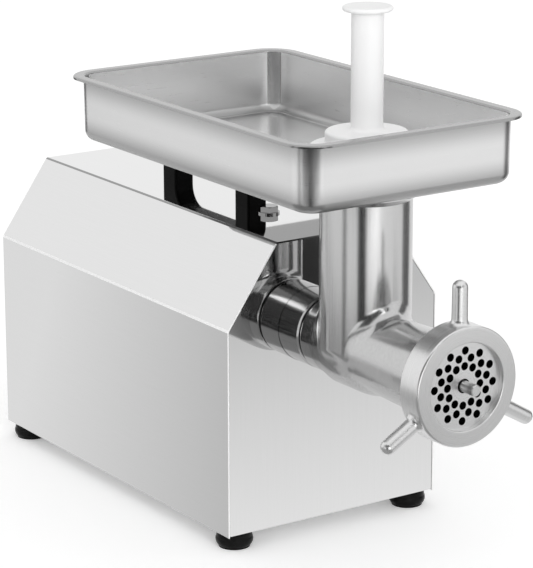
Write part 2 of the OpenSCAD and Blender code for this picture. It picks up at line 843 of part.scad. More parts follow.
lock_y = -neck_l / 2;
lock_r = 5;
lock_boss_r = 9;
lock_boss = 46;
lock_knob_r = neck_l / 2 - 2.2;
lock_knob_l = 15;
lock_lobes = 5;
neck_lip = 2.4;

module neck() {
    y0 = y_front_flange + panel_gap;
    r = neck_d / 2;
    placed() color([0.78, 0.79, 0.80]) difference() {
        union() {
            turned_y(out_c, [[0, -neck_l], [r - neck_lip, -neck_l],
                             [r - 0.3 * neck_lip, -neck_l + 0.3 * neck_lip],
                             [r, -neck_l + neck_lip], [r, y0], [neck_flange_d / 2, y0],
                             [neck_flange_d / 2, y_neck_back], [0, y_neck_back]]);
            rod_x(lock_y, axis_z, axis_x, axis_x + lock_boss, lock_boss_r);
        }
        rod_y(out_c, -neck_l - past, y_neck_back + past, socket_d / 2 + run_gap);
        rod_x(lock_y, axis_z, axis_x, axis_x + lock_boss + past, lock_r + run_gap);
        for (p = neck_bolt_points()) {
            rod_y(p, y0 - past, y_neck_back + past, neck_bolt_d / 2 + 0.2);
            rod_y(p, y0 - past, y0 + neck_bolt_head_t, neck_bolt_head_r + 0.7);
        }
    }
}

module neck_seal() {
    r = collar_d / 2 - 0.9;
    placed() color([0.03, 0.03, 0.03])
        ring_y(out_c, y_seal, -neck_l, socket_d / 2 + slip_gap, r);
}

module neck_bolts() {
    y0 = y_front_flange + panel_gap;
    placed() color([0.3, 0.3, 0.31]) for (p = neck_bolt_points()) difference() {
        turned_y(p, [[0, y0 + slip_gap], [neck_bolt_head_r, y0 + slip_gap],
                     [neck_bolt_head_r, y0 + neck_bolt_head_t],
                     [neck_bolt_d / 2, y0 + neck_bolt_head_t],
                     [neck_bolt_d / 2, y_cover + neck_bolt_in], [0, y_cover + neck_bolt_in]]);
        translate([p[0], y0 + 2.8, p[1]]) rotate([90, 0, 0])
            cylinder(d = neck_bolt_d - 0.2, h = neck_bolt_head_t, $fn = 6);
    }
}

// The screw that clamps the head, with a five-lobed knob on its end
module lock_screw() {
    x0 = axis_x + socket_d / 2 + run_gap + slip_gap;
    x1 = axis_x + lock_boss + 8;
    placed() {
        color([0.75, 0.75, 0.77]) rod_x(lock_y, axis_z, x0, x1 + eps, lock_r);
        color([0.08, 0.08, 0.08]) translate([x1, lock_y, axis_z]) rotate([0, 90, 0]) difference() {
            union() {
                cylinder(r = lock_knob_r * 0.62, h = lock_knob_l + 1);
                translate([0, 0, lock_knob_l * 0.27])
                    cylinder(r = lock_knob_r, h = lock_knob_l * 0.73);
            }
            for (i = [1 : lock_lobes])
                rotate([0, 0, 360 / lock_lobes * i]) translate([lock_knob_r * 1.2, 0, -past])
                    cylinder(r = lock_knob_r * 0.42, h = lock_knob_l + 1 + 2 * past);
        }
    }
}

// ---------- mincing head ----------

// The outline of the rounded bulge below the feed tube, as a horizontal cylinder
bulge_r = tube_d / 2 + 1.2;
bulge_c = axis_z + bulge_r - bulge_drop;
seat_out = 6;
seat_chamfer = 5;

module head_casting() {
    tr = tube_d / 2;
    seat_r = tr + seat_out;
    z_seat = z_pan - slip_gap;
    placed() color([0.80, 0.81, 0.82]) difference() {
        union() {
            turned_y(out_c, [[0, y_head], [thread_d / 2 - 1, y_head],
                             [thread_d / 2, y_head + 1], [thread_d / 2, y_flange],
                             [barrel_d / 2, y_cone], [barrel_d / 2, y_collar],
                             [collar_d / 2, y_collar + 1.5], [collar_d / 2, y_seal],
                             [socket_d / 2, y_seal], [socket_d / 2, y_spigot - 1],
                             [socket_d / 2 - 1, y_spigot], [0, y_spigot]]);
            // feed tube, rounded off below the barrel
            intersection() {
                rod_z([axis_x, tube_y], bulge_c - bulge_r - past, z_mouth, tr);
                union() {
                    rod_y([axis_x, bulge_c], tube_y - tube_d, tube_y + tube_d, bulge_r);
                    translate([axis_x - tube_d, tube_y - tube_d, bulge_c])
                        cube([2 * tube_d, 2 * tube_d, z_mouth + past - bulge_c]);
                }
            }
            // the ledge that carries the pan
            turned_z([axis_x, tube_y], [[tr - 1, z_pan - 2 * seat_chamfer],
                                        [tr, z_pan - 2 * seat_chamfer],
                                        [seat_r, z_pan - seat_chamfer], [seat_r, z_seat],
                                        [tr - 1, z_seat]]);
        }
        rod_y(out_c, y_head - past, y_bore, bore_d / 2);
        rod_y(out_c, y_head - past, y_seat, plate_d / 2 + plate_gap);
        rod_y(out_c, y_bore - past, y_spigot + past, journal_d / 2 + run_gap);
        rod_z([axis_x, tube_y], axis_z, z_mouth + past, tube_bore / 2);
        rod_y(key_c, y_head - past, y_seat + key_deep, key_r + run_gap);
    }
}

plate_gap = 0.15;
key_r = 2;
key_deep = 4;
key_c = out_c + (plate_d / 2 + 0.4) * [0, 1];

// The pin that keeps the plate from turning
module plate_key() {
    placed() color([0.55, 0.55, 0.57]) rod_y(key_c, y_head + 1, y_seat + key_deep - 0.2, key_r);
}

washer_t = 2;
washer_w = 10;
stud_in = 17;
worm_y0 = y_bore - washer_t - slip_gap;
worm_y1 = y_knife + knife_t + 0.2;
worm_l = worm_y0 - worm_y1;
worm_steps = 72;

// Turn of the flight at a share t of the worm's length: the pitch shortens towards the front
function worm_turn(t) = 360 * worm_turns * ((1 - worm_squeeze) * t + worm_squeeze * t * t);

function worm_core(t) = (worm_root + (worm_root_front - worm_root) * t) / 2;

// The flight rises out of the root over the first few millimetres at the rear
function worm_rise(t) = min(1, max(0, (worm_l * t - 2) / 8));

// Angles and heights of one slice: the flight's two flanks and the round root
worm_slice = [[-34, 0], [-24, 0.12], [-17, 1], [0, 1], [17, 1], [24, 0.12], [34, 0],
              for (a = [62 : 27 : 305]) [a, 0]];

function worm_ring(i) =
    let (t = i / worm_steps, core = worm_core(t), rise = worm_rise(t) * (worm_d / 2 - core))
    [for (p = worm_slice)
        let (r = core + rise * p[1], a = p[0] - worm_turn(t))
        [r * cos(a), r * sin(a), worm_l * t]];

// The worm: a tapering root with a flight whose pitch shortens towards the plate
module worm() {
    n = len(worm_slice);
    rings = [for (i = [0 : worm_steps], p = worm_ring(i)) p];
    last = worm_steps * n;
    faces = concat(
        [for (i = [0 : worm_steps - 1], j = [0 : n - 1])
            [i * n + j, (i + 1) * n + j, (i + 1) * n + (j + 1) % n]],
        [for (i = [0 : worm_steps - 1], j = [0 : n - 1])
            [i * n + j, (i + 1) * n + (j + 1) % n, i * n + (j + 1) % n]],
        [[for (j = [0 : n - 1]) j]],
        [[for (j = [n - 1 : -1 : 0]) last + j]]);
    placed() color([0.76, 0.77, 0.78]) {
        difference() {
            translate([axis_x, worm_y0, axis_z]) rotate([90, 0, 0]) polyhedron(rings, faces);
            rod_y(out_c, worm_y1 - past, worm_y1 + stud_in + 1, stud_d / 2 + run_gap);
        }
        turned_y(out_c, [[0, worm_y0 - 1], [journal_d / 2, worm_y0 - 1],
                         [journal_d / 2, y_spigot - 1],
                         [journal_d / 2 - 1, y_spigot], [0, y_spigot]]);
        translate([axis_x - tang_sq / 2, y_spigot, axis_z - tang_sq / 2])
            cube([tang_sq, tang_l, tang_sq]);
    }
}

tang_l = y_bearing + out_bearing[2] - 3 - y_spigot;

// The stud that drives the knife and turns in the plate
module worm_stud() {
    placed() color([0.70, 0.71, 0.72]) union() {
        turned_y(out_c, [[0, y_low], [stud_d / 2 - 0.8, y_low], [stud_d / 2, y_low + 0.8],
                         [stud_d / 2, worm_y1 + stud_in], [0, worm_y1 + stud_in]]);
        translate([axis_x - stud_sq / 2, y_knife, axis_z - stud_sq / 2])
            cube([stud_sq, worm_y1 - y_knife, stud_sq]);
    }
}

stud_sq = knife_sq - 0.4;

module thrust_washer() {
    placed() color([0.92, 0.91, 0.86])
        ring_y(out_c, y_bore - washer_t, y_bore - eps, journal_d / 2 + run_gap,
               journal_d / 2 + washer_w);
}

knife_turn = 20;
knife_hub_r = 15;
blade_w = 6;
knife_face = 0.15;

// A four-bladed cross knife with its cutting edges towards the plate
module knife() {
    y0 = y_knife + knife_face;
    y1 = y_knife + knife_t;
    back = knife_t - 0.5;
    placed() color([0.66, 0.67, 0.69]) difference() {
        union() {
            rod_y(out_c, y0, y1, knife_hub_r);
            for (i = [0 : 3])
                translate([axis_x, 0, axis_z]) rotate([0, -knife_turn - 90 * i, 0]) difference() {
                    translate([0, y0, 0]) rotate([90, 0, 90]) linear_extrude(knife_r)
                        polygon([[0, blade_w], [0, -blade_w], [3, -blade_w],
                                 [back, 2.6 - blade_w], [back, blade_w - 3.4]]);
                    // the blade tips follow the bore
                    ring_y([0, 0], y0 - past, y1 + past, knife_r - 0.4, knife_r + knife_hub_r);
                }
        }
        translate([axis_x - knife_sq / 2, y_knife - past, axis_z - knife_sq / 2])
            cube([knife_sq, knife_t + 2 * past, knife_sq]);
    }
}

hole_ring = plate_d / 2 - hole_edge;
hole_rings = [hole_ring - hole_step_out - hole_step_in, hole_ring - hole_step_out, hole_ring];

// The perforated plate: staggered rings of holes, a bore and a notch for its key
module grinding_plate() {
    placed() color([0.78, 0.78, 0.78]) difference() {
        rod_y(out_c, y_plate, y_knife, plate_d / 2);
        rod_y(out_c, y_plate - 1, y_knife + 1, plate_bore / 2);
        rod_y(key_c, y_plate - 1, y_knife + 1, key_r + 0.4);
        for (k = [0 : 2], i = [0 : hole_count - 1]) {
            a = hole_turn + 360 / hole_count * (i + (k == 1 ? 0.5 : 0));
            rod_y(out_c + hole_rings[k] * [cos(a), sin(a)], y_plate - 1, y_knife + 1, hole_d / 2);
        }
    }
}

ring_arms = 3;
arm_flare = 4;

// One handle of the ring: a round bar with a domed tip and a flared root
module ring_arm() {
    r = ring_arm_d / 2;
    seat = ring_d / 2;
    dome = r * 0.8;
    rotate_extrude() polygon(concat(
        [[0, seat - arm_flare]],
        [[r + arm_flare - 0.4, seat - arm_flare], [r + arm_flare - 0.4, seat - 0.4]],
        [for (a = [0 : 18 : 90]) [r + arm_flare * (1 - sin(a)), seat + arm_flare * (1 - cos(a))]],
        [for (a = [0 : 15 : 90]) [r * cos(a), ring_arm_r - dome * (1 - sin(a))]]));
}

module ring_nut() {
    r = ring_d / 2;
    y1 = y_ring + ring_l;
    inner = thread_d / 2 + slip_gap;
    placed() color([0.80, 0.81, 0.82]) difference() {
        union() {
            turned_y(out_c, [[0, y_ring], [r - 1, y_ring], [r, y_ring + 1], [r, y1 - 2],
                             [r - 0.6, y1 - 0.6], [r - 2, y1], [0, y1]]);
            for (i = [0 : ring_arms - 1])
                translate([axis_x, y_ring + ring_arm_set, axis_z])
                    rotate([0, 360 / ring_arms * i, 0]) ring_arm();
        }
        turned_y(out_c, [[0, y_ring - 1], [ring_open / 2 + 0.8, y_ring - 1],
                         [ring_open / 2 + 0.8, y_ring], [ring_open / 2, y_ring + 0.8],
                         [ring_open / 2, y_plate], [inner, y_plate], [inner, y1 + 1], [0, y1 + 1]]);
    }
}

// ---------- feed pan and plunger ----------

pan_x0 = axis_x - pan_w / 2;
pan_y0 = tube_y - pan_front;
rim_fall = 2.5;
rim_edge = 1.2;
body_r = rim_r - rim_w + 6;

// A flat plan of the pan, drawn in from the rim's outline
module pan_plan(inset, r) {
    translate([pan_x0 + inset, pan_y0 + inset]) offset_box(pan_w - 2 * inset, pan_l - 2 * inset, r);
}

module offset_box(w, l, r) {
    polygon(rounded([[0, 0], [w, 0], [w, l], [0, l]], [r, r, r, r], 8));
}

// A drawn pan's body: slices that round into the floor, leaning out towards the rim
module pan_body(z0, z1, wall, edge_r) {
    hull() {
        for (a = [0 : 18 : 90]) {
            rise = edge_r * (1 - sin(a));
            lean = pan_draft * (pan_depth - rise) / pan_depth;
            translate([0, 0, z0 + rise]) linear_extrude(eps)
                pan_plan(rim_w + wall + lean + edge_r * (1 - cos(a)) * 0.98,
                         max(body_r - edge_r * (1 - cos(a)) * 0.5, 4));
        }
        translate([0, 0, z1 - eps]) linear_extrude(eps) pan_plan(rim_w + wall, body_r);
    }
}

module feed_pan() {
    placed() color([0.82, 0.83, 0.84]) difference() {
        union() {
            pan_body(z_pan, z_rim, 0, pan_edge_r);
            // flat rim with a turned-down edge
            translate([0, 0, z_rim - pan_t]) linear_extrude(pan_t) pan_plan(0, rim_r);
            translate([0, 0, z_rim - rim_fall]) linear_extrude(rim_fall) difference() {
                pan_plan(0, rim_r);
                pan_plan(rim_edge, rim_r - rim_edge);
            }
        }
        pan_body(z_pan + pan_t, z_rim + 1, pan_t, pan_edge_r - pan_t);
        rod_z([axis_x, tube_y], z_pan - 1, z_pan + pan_t + 1, tube_d / 2 + slip_gap);
    }
}

module plunger() {
    r = plunger_d / 2;
    w = plunger_wall;
    z1 = z_guard + guard_t;
    placed() color([0.93, 0.93, 0.93]) turned_z([axis_x, tube_y], concat(
        // inside, from the open bottom up
        [[r - w, z_plunger], [r, z_plunger + 1.5], [r, z_guard], [guard_d / 2 - 1.5, z_guard],
         [guard_d / 2, z_guard + 1.5], [guard_d / 2, z1 - 3]],
        [for (a = [30 : 30 : 90]) [guard_d / 2 - 3 + 3 * cos(a), z1 - 3 + 3 * sin(a)]],
        [[hub_d / 2, z1], [hub_d / 2, z_hub - 1.2], [hub_d / 2 - 1.2, z_hub]],
        [for (a = [0 : 30 : 90]) [stick_d / 2 + 3 - 3 * sin(a), z_hub + 3 - 3 * cos(a)]],
        [[stick_d / 2, z_knob - knob_t - 1], [stick_d / 2 + 1, z_knob - knob_t]],
        [for (a = [-90 : 30 : 90]) [knob_d / 2 - knob_t / 2 + knob_t / 2 * cos(a),
                                    z_knob - knob_t / 2 + knob_t / 2 * sin(a)]],
        [[knob_d / 2 - 5, z_knob - 1.2], [0, z_knob - 1.2],
         [0, z_guard + 2], [r - w - 3, z_guard + 2], [r - w, z_guard - 1]]));
}

// ---------- gearbox ----------

out_room = out_tip + case_gap;
mid_room = mid_tip + case_gap;
motor_room = motor_bearing[1] / 2 + 2;

// The gearbox's outline round its three shafts, grown by a wall
module box_shape(grow) {
    hull() {
        translate(out_c) circle(r = out_room + grow, $fn = 48);
        translate(mid_c) circle(r = mid_room + grow, $fn = 48);
        translate(motor_c) circle(r = motor_room + grow, $fn = 48);
    }
}

function box_bolt_points() =
    let (r = max(out_room + 3, neck_flange_d / 2 + 5), q = mid_room + 3)
    [out_c + r * [cos(60), sin(60)], out_c + r * [cos(130), sin(130)],
     out_c + r * [cos(200), sin(200)], mid_c + q * [cos(8), sin(8)],
     mid_c + q * [cos(190), sin(190)]];

lug_l = 14;
lug_w = 20;
lug_floor = 4;
box_bolt_r = 2.5;
boss_r = 7;
boss_l = 16;
z_lug = z_top - sheet - lug_l;

z_lug_foot = axis_z + out_room * 0.7;

module gearbox_case() {
    placed() color([0.62, 0.63, 0.64]) difference() {
        union() {
            along_y(y_case, y_case_end) box_shape(case_wall);
            for (p = box_bolt_points()) rod_y(p, y_case, y_case + boss_l, boss_r);
            // lug under the top bolt
            translate([top_bolt_x - lug_w / 2, top_bolt_y - lug_w / 2, z_lug_foot])
                cube([lug_w, y_case_end - top_bolt_y + lug_w / 2, z_lug + lug_l - slip_gap - z_lug_foot]);
        }
        difference() {
            along_y(y_case - 1, y_case_end - case_wall) box_shape(0);
            rod_y(out_c, y_wall - 1, y_case_end, out_bearing_2[1] / 2 + 5);
            rod_y(mid_c, y_wall - 1, y_case_end, mid_bearing[1] / 2 + 5);
            for (p = box_bolt_points()) rod_y(p, y_case - 2, y_case + boss_l, boss_r - 1);
        }
        rod_y(out_c, y_wall - 2, y_wall + out_bearing_2[2], out_bearing_2[1] / 2 + eps);
        rod_y(mid_c, y_wall - 2, y_wall + mid_bearing[2], mid_bearing[1] / 2 + eps);
        rod_y(motor_c, y_case, y_case_end + 1, teeth_motor * module_fast / 2 + 4);
        for (p = box_bolt_points())
            rod_y(p, y_case - past, y_case + box_bolt_in + 1, box_bolt_r + 0.1);
        rod_z([top_bolt_x, top_bolt_y], z_lug + lug_floor, z_top, top_bolt_r + 0.1);
    }
}

out_boss_w = 5;
mid_boss_w = 4.3;
case_reach = 60;
neck_bolt_tip = 0.5;

module gearbox_cover() {
    placed() color([0.64, 0.65, 0.66]) difference() {
        union() {
            along_y(y_cover, y_case) box_shape(case_wall);
            for (p = box_bolt_points()) rod_y(p, y_cover, y_case, boss_r);
            rod_y(out_c, y_case - past, y_bearing + out_bearing[2], out_bearing[1] / 2 + out_boss_w);
            rod_y(mid_c, y_case - past, y_mid_front + mid_bearing[2], mid_bearing[1] / 2 + mid_boss_w);
        }
        rod_y(out_c, y_bearing, y_case + case_reach, out_bearing[1] / 2 + eps);
        rod_y(out_c, y_cover - past, y_bearing + past, out_shaft_r + seal_w);
        rod_y(mid_c, y_mid_front, y_case + case_reach, mid_bearing[1] / 2 + eps);
        for (p = box_bolt_points()) rod_y(p, y_cover - past, y_case + past, box_bolt_r + slip_gap);
        for (p = neck_bolt_points())
            rod_y(p, y_cover - past, y_cover + neck_bolt_in + neck_bolt_tip, neck_bolt_d / 2 + run_gap);
    }
}

y_mid_front = y_slow - 2 - mid_bearing[2];
box_bolt_in = 13;
box_bolt_head_r = 4.2;
box_bolt_head_t = 5;

module gearbox_bolts() {
    placed() color([0.3, 0.3, 0.31]) for (p = box_bolt_points()) difference() {
        turned_y(p, [[0, y_cover - box_bolt_head_t], [box_bolt_head_r, y_cover - box_bolt_head_t],
                     [box_bolt_head_r, y_cover], [box_bolt_r, y_cover],
                     [box_bolt_r, y_case + box_bolt_in], [0, y_case + box_bolt_in]]);
        translate([p[0], y_cover - 2, p[1]]) rotate([90, 0, 0])
            cylinder(d = 2 * box_bolt_r - 0.1, h = box_bolt_head_t, $fn = 6);
    }
}

module oil_seal() {
    placed() color([0.09, 0.09, 0.09])
        ring_y(out_c, y_cover, y_bearing - 0.1, out_shaft_r + run_gap, out_shaft_r + seal_w - eps);
}

// A ball bearing: two races with a waist between them where the balls run
module bearing(c, y0, size) {
    bore = size[0] / 2;
    rim = size[1] / 2;
    mid = (bore + rim) / 2;
    q = (rim - bore) * 0.22;
    placed() color([0.72, 0.73, 0.75]) {
        turned_y(c, [[bore + run_gap, y0], [mid - q, y0], [mid - q, y0 + 0.8], [mid + q, y0 + 0.8],
                     [mid + q, y0], [rim, y0], [rim, y0 + size[2]], [mid + q, y0 + size[2]],
                     [mid + q, y0 + size[2] - 0.8], [mid - q, y0 + size[2] - 0.8],
                     [mid - q, y0 + size[2]], [bore + run_gap, y0 + size[2]]]);
    }
}

module output_shaft() {
    r = out_shaft_r;
    r2 = out_bearing_2[0] / 2;
    sq = tang_sq + 2 * slip_gap;
    y1 = y_bearing + out_bearing[2];
    placed() color([0.60, 0.61, 0.63]) difference() {
        turned_y(out_c, [[0, y_cover + 0.3], [r - 1, y_cover + 0.3], [r, y_cover + 1.3],
                         [r, y_slow + slow_w], [r2 + 3, y_slow + slow_w], [r2 + 3, y_wall - 0.2],
                         [r2, y_wall - 0.2], [r2, y_wall + out_bearing_2[2] - 1],
                         [0, y_wall + out_bearing_2[2] - 1]]);
        translate([axis_x - sq / 2, y_cover - 1, axis_z - sq / 2]) cube([sq, y1 - y_cover + 1, sq]);
    }
}

module output_gear() {
    placed() color([0.55, 0.56, 0.58]) difference() {
        along_y(y_slow, y_slow + slow_w) translate(out_c) gear_shape(teeth_out, module_slow, mid_dir);
        rod_y(out_c, y_slow - 1, y_slow + slow_w + 1, out_shaft_r + eps);
        // the web is turned thinner on both faces
        for (y = [y_slow - 1, y_slow + slow_w - 5])
            ring_y(out_c, y, y + 6, out_shaft_r + 6, out_tip - 9);
    }
}

module output_bearing_front() { bearing(out_c, y_bearing, out_bearing); }

module output_bearing_rear() { bearing(out_c, y_wall, out_bearing_2); }

// The intermediate shaft with its pinion cut on it
module mid_shaft() {
    r = mid_bearing[0] / 2;
    y1 = y_wall + mid_bearing[2] - 1;
    turn = mid_dir + 180 + 180 / teeth_mid_small;
    placed() color([0.57, 0.58, 0.60]) union() {
        turned_y(mid_c, [[0, y_mid_front + 1], [r, y_mid_front + 1], [r, y_slow - 2],
                         [r + 3, y_slow - 1.8], [r + 3, y_fast + fast_w + 1], [r, y_fast + fast_w + 1.2],
                         [r, y1], [0, y1]]);
        along_y(y_slow - 1, y_slow + slow_w + 1) translate(mid_c)
            gear_shape(teeth_mid_small, module_slow, turn);
    }
}

module mid_gear() {
    placed() color([0.55, 0.56, 0.58]) difference() {
        along_y(y_fast, y_fast + fast_w) translate(mid_c) difference() {
            gear_shape(teeth_mid_big, module_fast, motor_dir);
            circle(r = mid_bearing[0] / 2 + 3 + eps);
            for (a = [0 : 60 : 300]) rotate(a) translate([mid_tip * 0.58, 0]) circle(r = 5.5);
        }
    }
}

module mid_bearings() {
    bearing(mid_c, y_mid_front, mid_bearing);
    bearing(mid_c, y_wall, mid_bearing);
}

// ---------- motor ----------

y_motor_bearing = y_bell + 4;
y_motor_bearing_2 = y_shell_end + 2;

// The motor's shaft with the first pinion cut on its front end
module motor_shaft() {
    r = shaft_d / 2;
    root = module_fast * (teeth_motor / 2 - dedendum);
    turn = motor_dir + 180 + 180 / teeth_motor;
    placed() color([0.58, 0.59, 0.61]) union() {
        turned_y(motor_c, [[0, y_fast - 1], [root - 0.5, y_fast - 1], [root - 0.5, y_bell + 2],
                           [r, y_bell + 2.5], [r, y_fan + fan_w - 4], [0, y_fan + fan_w - 4]]);
        along_y(y_fast - 0.5, y_fast + fast_w + 0.5) translate(motor_c)
            gear_shape(teeth_motor, module_fast, turn);
    }
}

rotor_ring_l = 6;

module rotor_core() {
    placed() color([0.45, 0.45, 0.47]) union() {
        ring_y(motor_c, y_stack, y_stack + stack_l, shaft_d / 2 + eps, rotor_r);
        // cast end rings
        for (y = [y_stack - rotor_ring_l, y_stack + stack_l])
            ring_y(motor_c, y, y + rotor_ring_l, rotor_r * 0.62, rotor_r - 2);
    }
}

module motor_bearings() {
    bearing(motor_c, y_motor_bearing, motor_bearing);
    bearing(motor_c, y_motor_bearing_2, motor_bearing);
}

slot_n = 24;
slot_l = 11;
slot_w = 4;
coil_in = 3;
coil_t = 12;

module stator_core() {
    placed() color([0.50, 0.50, 0.52]) along_y(y_stack, y_stack + stack_l) translate(motor_c)
        difference() {
            circle(r = stator_r);
            circle(r = rotor_r + air_gap);
            for (i = [0 : slot_n - 1]) rotate(360 / slot_n * i)
                translate([rotor_r + air_gap + 2, -slot_w / 2]) square([slot_l, slot_w]);
        }
}

// The end turns of the windings, one bundle at each end of the stack
module stator_windings() {
    r0 = rotor_r + air_gap + coil_in;
    r1 = r0 + coil_t;
    placed() color([0.72, 0.38, 0.18]) for (e = [[y_stack - coil_l, y_stack],
                                                 [y_stack + stack_l, y_stack + stack_l + coil_l]])
        turned_y(motor_c, rounded([[r0, e[0]], [r1, e[0]], [r1, e[1]], [r0, e[1]]],
                                  [4, 4, 0.5, 0.5]));
}

module motor_shell() {
    placed() color([0.60, 0.61, 0.62])
        ring_y(motor_c, y_shell, y_shell_end, motor_r - shell_t, motor_r);
}

bell_web = 5;
bell_rim = 6;
bell_hub_w = 4;
bell_shaft_gap = 3;

module bell(y0, y1, y_seat0, inner_side) {
    hub_r = motor_bearing[1] / 2 + bell_hub_w;
    difference() {
        union() {
            rod_y(motor_c, y0, y1, motor_r);
            rod_y(motor_c, y1 > y0 ? y_seat0 : y0, y_seat0 + motor_bearing[2], hub_r);
        }
        // the dish towards the windings
        difference() {
            rod_y(motor_c, inner_side > 0 ? y0 + bell_web : y0 - past,
                  inner_side > 0 ? y1 + past : y1 - bell_web, motor_r - bell_rim);
            rod_y(motor_c, y0 - 2 * past, y1 + 2 * past, hub_r);
        }
        rod_y(motor_c, inner_side > 0 ? y_seat0 : y0 - past,
              inner_side > 0 ? y1 + past : y_seat0 + motor_bearing[2], motor_bearing[1] / 2 + eps);
        rod_y(motor_c, y0 - past, y1 + past, shaft_d / 2 + bell_shaft_gap);
    }
}

module motor_front_bell() {
    placed() color([0.63, 0.64, 0.65]) bell(y_bell, y_shell, y_motor_bearing, 1);
}

module motor_rear_bell() {
    placed() color([0.63, 0.64, 0.65]) bell(y_shell_end, y_bell_end, y_motor_bearing_2, -1);
}

fan_blades = 7;
fan_room = 10;
fan_disc_t = 3;
fan_hub_w = 5;
blade_t = 2.4;

module cooling_fan() {
    r = motor_r - fan_room;
    hub_r = shaft_d / 2 + fan_hub_w;
    placed() color([0.12, 0.12, 0.13]) difference() {
        union() {
            rod_y(motor_c, y_fan, y_fan + fan_disc_t, r * 0.6);
            rod_y(motor_c, y_fan, y_fan + fan_w - 4, hub_r);
            for (i = [0 : fan_blades - 1])
                translate([motor_c[0], y_fan, motor_c[1]]) rotate([0, 360 / fan_blades * i, 0])
                    translate([hub_r - 2, 1, -blade_t / 2]) cube([r - hub_r + 2, fan_w - 6, blade_t]);
        }
        rod_y(motor_c, y_fan - 1, y_fan + fan_w + 1, shaft_d / 2 + eps);
    }
}

fan_cover_t = 1.6;
intake_n = 12;
intake_w = 6;
intake_in = 14;
intake_edge = 12;

module fan_cover() {
    y0 = y_bell_end;
    y1 = y0 + fan_cup;
    r = motor_r - 0.5;
    placed() color([0.20, 0.20, 0.21]) difference() {
        rod_y(motor_c, y0, y1, r);
        rod_y(motor_c, y0 - past, y1 - fan_cover_t, r - fan_cover_t);
        for (i = [1 : intake_n]) translate([motor_c[0], 0, motor_c[1]])
            rotate([0, 360 / intake_n * i, 0])
                translate([intake_in, y1 - fan_cover_t - past, -intake_w / 2])
                    cube([motor_r - intake_edge - intake_in, fan_cover_t + 2 * past, intake_w]);
    }
}

motor_foot_x = 44;
motor_foot_l = 22;
motor_foot_edge = 10;
motor_foot_in = 14;
motor_hole_r = 3.2;

function motor_foot_y() = [y_shell + motor_foot_in, y_shell_end - motor_foot_in];

// Two cradles that carry the motor on the base plate
module motor_feet() {
    placed() color([0.55, 0.56, 0.57]) for (y = motor_foot_y()) difference() {
        translate([motor_c[0] - motor_foot_x - motor_foot_edge, y - motor_foot_l / 2, z_inside])
            cube([2 * (motor_foot_x + motor_foot_edge), motor_foot_l,
                  motor_c[1] - motor_r * 0.72 - z_inside]);
        rod_y(motor_c, y - motor_foot_l, y + motor_foot_l, motor_r + eps);
        for (s = [-1, 1])
            rod_z([motor_c[0] + s * motor_foot_x, y], z_inside - past, motor_c[1], motor_hole_r);
    }
}

cap_gap = 5;
cap_c = motor_c + [0, motor_r + cap_gap + cap_d / 2];
cap_y0 = y_stack;
tag = [6.3, 11, 0.8];
tag_x = 8;

module capacitor() {
    r = cap_d / 2;
    y1 = cap_y0 + cap_l;
    placed() color([0.15, 0.15, 0.16]) union() {
        turned_y(cap_c, [[0, cap_y0], [r - 2, cap_y0], [r, cap_y0 + 2], [r, y1 - 1],
                         [r - 1, y1], [0, y1]]);
        for (s = [-1, 1])
            translate([cap_c[0] + s * tag_x - tag[0] / 2, y1 - eps, cap_c[1] - tag[2] / 2]) cube(tag);
    }
}

clip_t = 2;
clip_w = 36;
clip_l = 18;

// The saddle and band that hold the capacitor on the motor
module capacitor_clip() {
    y0 = cap_y0 + cap_l / 2 - clip_l / 2;
    y1 = y0 + clip_l;
    z0 = motor_c[1] + motor_r * 0.93;
    placed() color([0.45, 0.46, 0.47]) difference() {
        union() {
            rod_y(cap_c, y0, y1, cap_d / 2 + clip_t);
            translate([cap_c[0] - clip_w / 2, y0, z0]) cube([clip_w, clip_l, cap_c[1] - z0]);
        }
        rod_y(cap_c, y0 - past, y1 + past, cap_d / 2 + eps);
        rod_y(motor_c, y0 - past, y1 + past, motor_r + eps);
    }
}

strip = [46, 20, 17];
strip_x = 48;
strip_back = 66;
strip_ways = 4;
strip_pitch = 10.6;
strip_hole_r = 2.6;

// A screw terminal strip with a pair of wells for each way and slots between the ways
module terminal_block() {
    y0 = body_l - strip_back;
    x0 = strip_x + strip[0] / 2 - strip_pitch * (strip_ways - 1) / 2;
    z1 = z_inside + strip[2];
    placed() color([0.88, 0.86, 0.80]) difference() {
        translate([strip_x, y0, z_inside]) cube(strip);
        for (i = [0 : strip_ways - 1], y = [0.25, 0.75])
            rod_z([x0 + i * strip_pitch, y0 + y * strip[1]], z_inside + 6, z1 + past, strip_hole_r);
        for (i = [0 : strip_ways - 2])
            translate([x0 + (i + 0.5) * strip_pitch - 0.7, y0 - past, z1 - 6])
                cube([1.4, strip[1] + 2 * past, 6 + past]);
    }
}

housing_wrap();
front_panel();
rear_panel();
base_plate();
foot(foot_points()[0]);  // foot_front_left
foot(foot_points()[1]);  // foot_front_right
foot(foot_points()[2]);  // foot_rear_left
foot(foot_points()[3]);  // foot_rear_right
foot_screws();
rear_panel_screws();
carry_handle();
handle_screws();
top_bolt();
cable_gland();
switch_plate();
power_rocker();
reverse_rocker();
reset_collar();
reset_button();
neck();
neck_seal();
neck_bolts();
lock_screw();
head_casting();
plate_key();
worm();
worm_stud();
thrust_washer();
knife();
grinding_plate();
ring_nut();
feed_pan();
plunger();
gearbox_case();
gearbox_cover();
gearbox_bolts();
oil_seal();
output_shaft();
output_gear();
output_bearing_front();
output_bearing_rear();
mid_shaft();
mid_gear();
mid_bearings();
motor_shaft();
rotor_core();
motor_bearings();
stator_core();
stator_windings();
motor_shell();
motor_front_bell();
motor_rear_bell();
cooling_fan();
fan_cover();
motor_feet();
capacitor();
capacitor_clip();
terminal_block();
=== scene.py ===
import json
import math

import bpy
import numpy as np
from mathutils import Matrix, Vector


